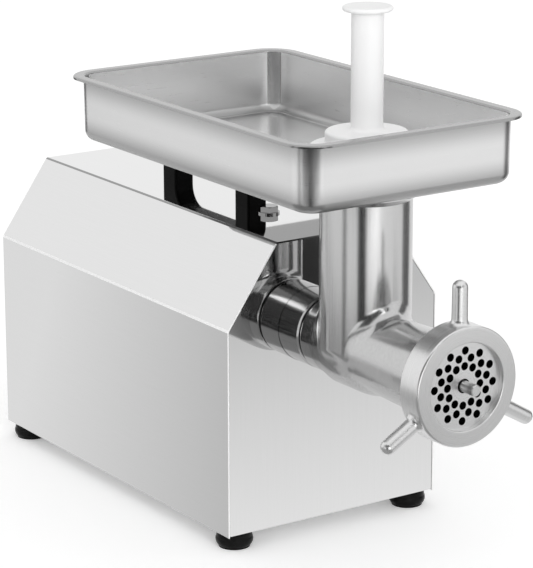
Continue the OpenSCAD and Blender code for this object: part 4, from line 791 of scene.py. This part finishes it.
def studio():
    """Camera, floor, sky, two lamps and the cards, with all places in metres."""
    bpy.context.scene.view_settings.view_transform = "Standard"
    camera()
    floor()
    sky()
    lamp("front_fill", around(5, 2.2, 1.2), around(0, 0, 0.2), (1.6, 1.2), 9, in_metal=False)
    lamp("front_box", around(19, 1.5, 0.6), around(0, 0, 0.3), (0.55, 1.3), 4.2)

    # Cards that stand round the head: turn of both ends, reach, lower and upper edge, tone.
    for name, start, end, reach, low, high, tone in (
            ("camera_card", -21, -1, 0.5, 0, 0.3, 0.03),
            ("slim_card", -58, -50, 0.5, 0, 0.62, 0.1),
            ("right_card", 97, 127, 0.57, 0, 0.62, 0.16),
            ("pan_corner_card", -42, 24, 0.52, 0.255, 0.52, 0.06),
            ("neck_card", 31, 48, 0.5, 0.34, 0.56, 0.05)):
        card(name, around(start, reach), around(end, reach), low, high, tone)
    card("pan_rear_card", Vector((-0.5, 1.03, 0)), Vector((-0.05, 1.12, 0)), 0.05, 0.5, 0.1)

    # Cards that lie round the housing, and one under the pan, no two at one height.
    gap = 5 * MM
    left, front = wrap_low.x - gap, front_y - gap
    lying_card("edge_card", (pan_high.x - 0.06, 0.05), (pan_high.x + 0.07, 0.158),
               pan_low.z - MM, 0.42)
    lying_strip("gap_card", (0.44, -0.755), (0.62, -1.01), 0.05, 4 * MM, 0.03)
    half_disc("front_disc", 0.85, (left - 0.06, front - 0.04, 0), 2.5 * MM, 0.36)
    lying_card("side_card", (left - 0.47, front), (left, front + 1.2), 1.5 * MM,
               0.62, (left, front), (left + 0.19, front + 0.126), 0.9)
    lying_card("outer_card", (left - 0.78, front - 0.1), (left - 0.48, front + 1.4), 1 * MM, 0.7)
    lying_card("panel_card", (left, front - 0.8), (left + 0.8, front), 0.5 * MM,
               0.93, (left, front), (left, front - 0.65), 0.62)


# ---------------------------------------------------------------- mincing head

# Heights along the barrel (Y) and the tube (Z) count from the crossing of their two axes.
BARREL_R = 36.7 * MM
WAIST = 2.1 * MM
WAIST_START, WAIST_END = -90 * MM, -30 * MM
COLLAR_R = 34.4 * MM
COLLAR_START, COLLAR_END = 33 * MM, 39 * MM
TUBE_R = 40.4 * MM
BULGE_R = 41.6 * MM
BULGE_DROP = 37.9 * MM
BULGE_FREE = 12 * MM
BULGE_BEND = 16 * MM
LOW_FILLET, HIGH_FILLET, REAR_FILLET = 6 * MM, 15 * MM, 7 * MM
HIGH_FILLET_Z = 25 * MM
REAR_FILLET_Y = 30 * MM
FILLET_LOSS = 0.85
CAST_GRID = 1.5 * MM
SKIN_GAP = 0.05 * MM


def round_join(a, b, r):
    """Joins two distance fields with a fillet of radius r."""
    inner = np.hypot(np.maximum(r - a, 0), np.maximum(r - b, 0))
    return np.maximum(r, np.minimum(a, b)) - inner


def round_meet(a, b, r):
    """Where two distance fields overlap, with its edge rounded to radius r."""
    outer = np.hypot(np.maximum(r + a, 0), np.maximum(r + b, 0))
    return np.minimum(-r, np.maximum(a, b)) + outer


def ease(value, start, end):
    """A smooth step from 0 at start to 1 at end."""
    share = np.clip((value - start) / (end - start), 0, 1)
    return share * share * (3 - 2 * share)


def cast_field(p):
    """Distance to the head's outer skin. The barrel narrows towards the tube and to the collar,
    the tube ends below the barrel in a round bulge, and the fillet between them changes round the
    crossing and gets small where both skins face the same way."""
    x, y, z = p[:, 0], p[:, 1], p[:, 2]
    waist = WAIST * np.clip((y - WAIST_START) / (WAIST_END - WAIST_START), 0, 1)
    drawn_in = BARREL_R - waist
    barrel_r = drawn_in + (COLLAR_R - drawn_in) * ease(y, COLLAR_START, COLLAR_END)
    barrel = np.hypot(x, z) - barrel_r
    tube = np.hypot(x, y) - TUBE_R
    lift = BULGE_R - BULGE_DROP
    clear = np.maximum(z + BULGE_FREE, 0) ** 2 / BULGE_BEND
    below = np.hypot(x, np.minimum(z - lift, 0)) - BULGE_R - clear
    bulb = round_meet(tube, below, BULGE_BEND)
    front_fillet = LOW_FILLET + (HIGH_FILLET - LOW_FILLET) * ease(z, 0, HIGH_FILLET_Z)
    fillet = front_fillet + (REAR_FILLET - front_fillet) * ease(y, -REAR_FILLET_Y, REAR_FILLET_Y)
    alike = x * x / (np.hypot(x, z) * np.hypot(x, y) + 1e-9)
    return round_join(barrel, bulb, fillet * (1 - FILLET_LOSS * np.clip(alike, 0, 1)))


def settle(points, field, rounds=14):
    """Moves points onto the field's zero surface, and returns them with their normals."""
    step = 0.02 * MM
    for _ in range(rounds):
        slope = np.stack([(field(points + step * axis) - field(points - step * axis)) / (2 * step)
                          for axis in np.eye(3)], axis=1)
        points = points - field(points)[:, None] * slope / (slope ** 2).sum(1)[:, None]
    return points, slope / np.linalg.norm(slope, axis=1)[:, None]


def draw_out(piece, along, stations):
    """Draws an open round end out through [radius, height] stations and closes it."""
    axis = "XYZ".index(along)
    radius, height = stations[0]
    end_height = height

    def at_end(a, b):
        return abs(a[axis] - end_height) < SKIN_GAP and abs(b[axis] - end_height) < SKIN_GAP

    select_edges(piece, at_end)
    bpy.ops.mesh.select_non_manifold(extend=False, use_wire=False, use_multi_face=False,
                                     use_non_contiguous=False, use_verts=False)
    object_mode()
    for edge in piece.data.edges:
        a, b = (piece.data.vertices[i].co for i in edge.vertices)
        edge.select = edge.select and at_end(a, b)
    edit_mode()
    for next_radius, next_height in stations[1:]:
        shift = [0, 0, 0]
        shift[axis] = next_height - height
        middle = [axis_x, tube_y, axis_z]
        middle[axis] = next_height
        grow = [next_radius / radius] * 3
        grow[axis] = 1
        extrude(shift)
        resize(grow, middle)
        radius, height = next_radius, next_height
    bpy.ops.mesh.edge_face_add()
    object_mode()


def head_casting():
    """The cast head: two joined drums settle on the field, their three ends are cut level and
    drawn out, and then the head is bored."""
    centre = np.array(Vector((axis_x, tube_y, axis_z)))
    mouth_z = head_high.z
    ledge_z = pan_low.z - 0.3 * MM
    flange_r = 46 * MM
    flange_y = head_low.y + 25 * MM
    spigot_r = 29 * MM
    seat_r = TUBE_R + 6 * MM
    chamfer = 1 * MM
    front_cut = flange_y + 5 * MM
    rear_cut = seal_low.y - 3 * MM
    top_cut = ledge_z - 12 * MM
    spare = 12 * MM
    tube_end = axis_z - 34 * MM
    barrel = drum("head_skin", BARREL_R, (axis_x, front_cut - spare, axis_z),
                  (axis_x, rear_cut + spare, axis_z))
    tube = drum("tube", TUBE_R - 1 * MM, (axis_x, tube_y, tube_end),
                (axis_x, tube_y, top_cut + spare), "Z")
    head = join("head_skin", barrel, tube)
    head.data.remesh_voxel_size = CAST_GRID
    pick(head)
    bpy.ops.object.voxel_remesh()

    past = 3 * MM
    drop_faces(head, lambda c, n: (c.y < front_cut - past or c.y > rear_cut + past
                                   or c.z > top_cut + past))
    points, _ = settle(coordinates(head) - centre, cast_field)
    move_points(head, points + centre)
    for place, normal in (((0, front_cut, 0), (0, -1, 0)), ((0, rear_cut, 0), (0, 1, 0)),
                          ((0, 0, top_cut), (0, 0, 1))):
        trim(head, place, normal, clear_outer=True)

    draw_out(head, "Y", [
        (BARREL_R, front_cut), (flange_r - chamfer, flange_y + chamfer), (flange_r, flange_y),
        (flange_r, head_low.y + chamfer), (flange_r - chamfer, head_low.y)])
    round_r, halfway = 1.2 * MM, 0.35 * MM
    draw_out(head, "Y", [
        (COLLAR_R, rear_cut), (COLLAR_R, seal_low.y - round_r),
        (COLLAR_R - halfway, seal_low.y - halfway), (COLLAR_R - round_r, seal_low.y),
        (spigot_r, seal_low.y), (spigot_r, head_high.y - chamfer),
        (spigot_r - chamfer, head_high.y)])
    flare_start, flare_end = ledge_z - 10 * MM, ledge_z - 5 * MM
    draw_out(head, "Z", [
        (TUBE_R, top_cut), (TUBE_R, flare_start), (seat_r, flare_end), (seat_r, ledge_z),
        (TUBE_R, ledge_z), (TUBE_R, mouth_z - chamfer), (TUBE_R - chamfer, mouth_z)])
    recalculate(head)

    beyond = 10 * MM
    for name, radius, end_y in (("bore", 33.5 * MM, seal_low.y - 19 * MM),
                                ("seat", 41.15 * MM, plate_high.y + 10.8 * MM),
                                ("journal", 18.05 * MM, head_high.y + beyond)):
        cut(head, drum(name, radius, (axis_x, head_low.y - beyond, axis_z),
                       (axis_x, end_y, axis_z)))
    cut(head, drum("throat", 37.5 * MM, (axis_x, tube_y, axis_z),
                   (axis_x, tube_y, mouth_z + beyond), "Z"))
    smooth(head, 30)
    shade_from_field(head, centre, cast_field, front_cut, rear_cut, top_cut)

    metals = [HEAD_STEEL, NECK_STEEL]
    neck_start = tube_y + 36 * MM
    finish_piece(head, metals, "head", "head_casting")
    dress_faces(head, metals, lambda face: NECK_STEEL if face.center.y > neck_start else HEAD_STEEL)


def shade_from_field(piece, centre, field, front, rear, top):
    """Gives the blended skin the normals of its field, and leaves the other faces as they are."""
    mesh = piece.data
    points = coordinates(piece)
    _, normals = settle(points - centre, field, 1)
    slack = 0.1 * MM
    same_way = 0.8
    off = np.abs(field(points - centre)) > SKIN_GAP
    off |= (points[:, 1] < front + slack) | (points[:, 1] > rear - slack)
    off |= points[:, 2] > top - slack
    corner = np.empty(len(mesh.loops), dtype=np.int64)
    mesh.loops.foreach_get("vertex_index", corner)
    face_normals = np.empty(len(mesh.polygons) * 3)
    mesh.polygons.foreach_get("normal", face_normals)
    counts = np.empty(len(mesh.polygons), dtype=np.int64)
    mesh.polygons.foreach_get("loop_total", counts)
    of_face = np.repeat(face_normals.reshape(-1, 3), counts, axis=0)
    wanted = normals[corner]
    alike = (of_face * wanted).sum(1) > same_way
    wanted[~alike | off[corner]] = 0
    mesh.normals_split_custom_set(wanted)


# ---------------------------------------------------------------- ring

def ring_arm(rim_r):
    """One handle of the ring, standing up along Z, with its foot fitted to the round rim."""
    arm_r = 6.9 * MM
    top_r = arm_r * 0.98
    tip = 89.5 * MM
    dome_r = arm_r * 0.96
    dome_start = tip - arm_r * 0.9
    dome_flatness = 0.92
    foot_r = 4.5 * MM
    sunk_end = rim_r - 5 * MM
    taper_end = rim_r + 14 * MM
    outline = [(arm_r + foot_r, sunk_end), (arm_r + foot_r, rim_r - 0.2 * MM)]
    outline += arc((arm_r + foot_r, rim_r + foot_r), foot_r, 270, 180, 8)
    outline += [(top_r, taper_end)]
    dome = arc((0, dome_start), dome_r, 0, 88, 10)
    outline += [(r, tip - (tip - h) * dome_flatness) for r, h in dome]
    arm = turned("arm", outline, (0, 0, 0), "Z", 48)
    points = coordinates(arm)
    side = np.clip((rim_r + foot_r - points[:, 2]) / foot_r, 0, 1)
    points[:, 2] -= side * (rim_r - np.sqrt(rim_r ** 2 - points[:, 0] ** 2))
    move_points(arm, points)
    return arm


def ring_nut():
    """The ring, turned with rounded edges and a lip over the plate, and its three handles."""
    rim_r = 52.2 * MM
    opening = 38 * MM
    inner = 46.3 * MM
    edge_r = 2 * MM
    lip_r = 1.2 * MM
    front, back = ring_low.y, ring_high.y
    lip_back = plate_low.y
    outline = [(opening + lip_r, front), (rim_r - edge_r, front)]
    outline += arc((rim_r - edge_r, front + edge_r), edge_r, -90, 0, 6)[1:]
    outline += [(rim_r, back - edge_r)]
    outline += arc((rim_r - edge_r, back - edge_r), edge_r, 0, 90, 6)[1:]
    outline += [(inner, back), (inner, lip_back), (opening, lip_back), (opening, front + lip_r)]
    outline += arc((opening + lip_r, front + lip_r), lip_r, 180, 270, 4)[1:-1]
    ring = turned("ring_body", outline, (axis_x, 0, axis_z), "Y", 160, closed=True)

    arm_y = front + 12 * MM
    first = ring_arm(rim_r)
    arms = [first, copied(first), copied(first)]
    for i, arm in enumerate(arms):
        arm.rotation_euler = (0, math.radians(360 * i / len(arms)), 0)
        arm.location = (axis_x, arm_y, axis_z)
        apply_place(arm)
    ring = join("ring_body", ring, *arms)
    smooth(ring, 34)

    metals = [RING_STEEL, RING_SIDE]
    facing = 0.8
    finish_piece(ring, metals, "ring", "ring_nut")
    dress_faces(ring, metals, lambda face: RING_SIDE if abs(face.normal.y) < facing else RING_STEEL)


# ---------------------------------------------------------------- feed pan

def bend_steps(radius, start, end, steps, inwards=False):
    """Steps (in, up) round a bend of a sheet, in millimetres."""
    points = arc((0, 0), -radius if inwards else radius, start, end, steps)
    return [(b[0] - a[0], b[1] - a[1]) for a, b in zip(points, points[1:])]


def feed_pan():
    """The pan: a plate drawn in step by step, over its lip and down, then given its thickness."""
    rim_corner = 31 * MM
    sheet, lip_rise, fold_r, edge_r = 1.5, 2.6, 2.2, 8.5    # in millimetres, as the steps are
    draft = 0.012
    wall_steps = 8
    depth = (pan_high.z - pan_low.z) / MM - sheet
    wall_drop = depth - edge_r - fold_r
    centre = (pan_low + pan_high) / 2
    pan = plane("pan_sheet", (centre.x, centre.y, pan_high.z - lip_rise * MM),
                (pan_high.x - pan_low.x, pan_high.y - pan_low.y))
    apply_place(pan)
    edit_all(pan)
    bpy.ops.mesh.bevel(offset=rim_corner, segments=18, affect="VERTICES")
    lip = [(0.05, 1.2), (0.15, 0.5), (0.4, 0.45), (0.65, 0.35), (0.9, 0.1)]
    flat = [(6.6, 0.0)]
    fold = bend_steps(fold_r, 90, 2, 6)
    wall = [(draft * wall_drop / wall_steps, -wall_drop / wall_steps)] * wall_steps
    edge = bend_steps(edge_r, 0, 88, 9, inwards=True)
    for across, rise in lip + flat + fold + wall + edge:
        bpy.ops.mesh.inset(thickness=across * MM, depth=rise * MM)
    object_mode()
    use(pan, "SOLIDIFY", thickness=sheet * MM, offset=-1, use_even_offset=True)
    spare = 20 * MM
    cut(pan, drum("tube_hole", TUBE_R + 0.3 * MM, (axis_x, tube_y, pan_low.z - spare),
                  (axis_x, tube_y, pan_low.z + spare), "Z"))
    smooth(pan, 40)

    rim_z, wall_z = pan_high.z - 2.8 * MM, pan_high.z - 3 * MM
    corner_share = 0.45

    # Chooses the lighter or darker copy of the sheet for each face; the darker one on the inner
    # corners is painted shade.
    def metal_of(face):
        if face.center.z > rim_z:
            return PAN_RIM
        if face.normal.z > STRAIGHT:
            return PAN_FLOOR
        if face.center.z >= wall_z or face.normal.dot(centre - face.center) <= 0:
            return PAN_STEEL
        askew = min(abs(face.normal.x), abs(face.normal.y))
        return PAN_CORNER if askew > corner_share else PAN_INSIDE

    metals = [PAN_STEEL, PAN_INSIDE, PAN_RIM, PAN_FLOOR, PAN_CORNER]
    finish_piece(pan, metals, "pan", "feed_pan")
    dress_faces(pan, metals, metal_of)


# ---------------------------------------------------------------- plunger

def plunger():
    """The plunger, turned in one outline and hollow from below: body, guard, hub, stick, knob."""
    body_r, wall = 36.6 * MM, 4 * MM
    guard_r, hub_r, stick_r, knob_r = 51 * MM, 36 * MM, 14 * MM, 21.8 * MM
    low_r, high_r = 2 * MM, 4 * MM
    hub_foot_r, hub_edge_r = 1.5 * MM, 2.5 * MM
    stick_foot_r, stick_top_r = 4 * MM, 3 * MM
    low, top = plunger_low.z, plunger_high.z
    guard_z = head_high.z + 0.3 * MM
    guard_top = guard_z + 12 * MM
    hub_top = guard_top + 13 * MM
    knob_t = 4.4 * MM
    rim = knob_t / 2
    outline = [(body_r, low + 1.5 * MM), (body_r, guard_z), (guard_r - low_r, guard_z)]
    outline += arc((guard_r - low_r, guard_z + low_r), low_r, -90, 0, 5)[1:]
    outline += arc((guard_r - high_r, guard_top - high_r), high_r, 0, 90, 8)
    outline += arc((hub_r + hub_foot_r, guard_top + hub_foot_r), hub_foot_r, 270, 180, 4)
    outline += arc((hub_r - hub_edge_r, hub_top - hub_edge_r), hub_edge_r, 0, 80, 6)
    outline += arc((stick_r + stick_foot_r, hub_top + 4.3 * MM), stick_foot_r, 265, 180, 8)
    outline += [(stick_r, top - knob_t - 4 * MM)]
    outline += arc((stick_r + stick_top_r, top - knob_t - 3.2 * MM), stick_top_r, 180, 95, 5)[1:]
    outline += arc((knob_r - rim, top - rim), rim, -90, 90, 10)
    outline += [(knob_r - 4 * MM, top - 0.7 * MM), (knob_r - 7 * MM, top - 1.1 * MM),
                (0.5 * MM, top - 1.2 * MM)]
    solid = turned("plunger_body", outline, (axis_x, tube_y, 0), "Z", 96)
    cut(solid, drum("hollow", body_r - wall, (axis_x, tube_y, low - 10 * MM),
                    (axis_x, tube_y, guard_z + 1 * MM), "Z"))
    smooth(solid, 40)
    finish_piece(solid, [WHITE_PLASTIC], "plunger", "plunger")


# ---------------------------------------------------------------- carrying handle

def carry_handle():
    """The bridge handle: a block with a rounded opening, whose two feet end level on the top."""
    low, high = grip_low, grip_high
    bar = 15 * MM
    post = 23 * MM
    crown_r = 20 * MM
    front_r, rear_r = 4 * MM, 20 * MM
    spare = 10 * MM
    grip = block("handle_grip", low - Vector((0, 0, 5 * MM)), high)
    round_edges(grip, lambda a, b: at_height(a, b, high.z) and abs(a.y - b.y) < NEAR, crown_r, 14)
    hole = block("hole", (low.x - spare, low.y + post, low.z - 2 * spare),
                 (high.x + spare, high.y - post, high.z - bar))
    for bend_y, bend_r in ((high.y - post, rear_r), (low.y + post, front_r)):
        round_edges(hole, lambda a, b: (at_height(a, b, high.z - bar)
                                        and at_height(a, b, bend_y, 1)), bend_r, 14)
    cut(grip, hole)
    use(grip, "BEVEL", width=2.2 * MM, segments=4, limit_method="ANGLE",
        angle_limit=math.radians(50))
    trim(grip, low, (0, 0, 1), clear_inner=True, use_fill=True)
    smooth(grip, 40)
    finish_piece(grip, [BLACK_PLASTIC], "housing", "carry_handle")


# ---------------------------------------------------------------- housing

def housing_shell():
    """The folded sheet: a prism drawn up and in, folded edges rounded, then given its thickness."""
    side_top = edge_z + 194 * MM
    shoulder_in = 52 * MM
    fold_r = 1.6 * MM
    turned_in = 0.88
    shell = block("housing_shell", (wrap_low.x, wrap_low.y, edge_z),
                  (wrap_high.x, wrap_high.y, side_top))
    select_faces(shell, lambda c, n: n.z > STRAIGHT)
    extrude((0, 0, wrap_high.z - side_top))
    shrink = 1 - 2 * shoulder_in / (wrap_high.x - wrap_low.x)
    resize((shrink, 1, 1), (middle_x, 0, wrap_high.z))
    object_mode()
    drop_faces(shell, lambda c, n: abs(n.y) > STRAIGHT)
    round_edges(shell, lambda a, b: abs(a.y - b.y) > 100 * MM, fold_r, 6)
    drop_faces(shell, lambda c, n: n.z < -STRAIGHT)
    select_edges(shell, lambda a, b: a.z < edge_z + NEAR and b.z < edge_z + NEAR)
    extrude((0, 0, 0))
    resize((turned_in, 1, 1), (middle_x, 0, edge_z))
    object_mode()
    recalculate(shell)
    use(shell, "SOLIDIFY", thickness=1.5 * MM, offset=-1, use_even_offset=True)
    use(shell, "BEVEL", width=0.45 * MM, segments=3, limit_method="ANGLE",
        angle_limit=math.radians(60))
    smooth(shell, 30)

    seam_z, bend_z = wrap_high.z - 1.6 * MM, wrap_high.z - 1.4 * MM

    # The front edge and the side fold get a painted highlight, the top of the front edge painted
    # shade, the top fold painted shade.
    def metal_of(face):
        place, normal = face.center, face.normal
        in_front = normal.y < -0.4 and place.y < front_y + 1 * MM
        at_fold = abs(place.z - side_top) < 1.2 * MM and abs(normal.y) < 0.1
        if in_front and place.z > seam_z:
            return SEAM_SHADE
        if place.z > bend_z and abs(normal.x) > 0.1 and normal.z > 0.6:
            return FOLD_SHADE
        return EDGE_HIGHLIGHT if in_front or at_fold else SATIN_SHEET

    metals = [SATIN_SHEET, EDGE_HIGHLIGHT, SEAM_SHADE, FOLD_SHADE]
    finish_piece(shell, metals, "housing", "housing_wrap")
    dress_faces(shell, metals, metal_of)


# ---------------------------------------------------------------- the whole machine

studio()
dress_nodes()
head_casting()
ring_nut()
feed_pan()
plunger()
carry_handle()
housing_shell()
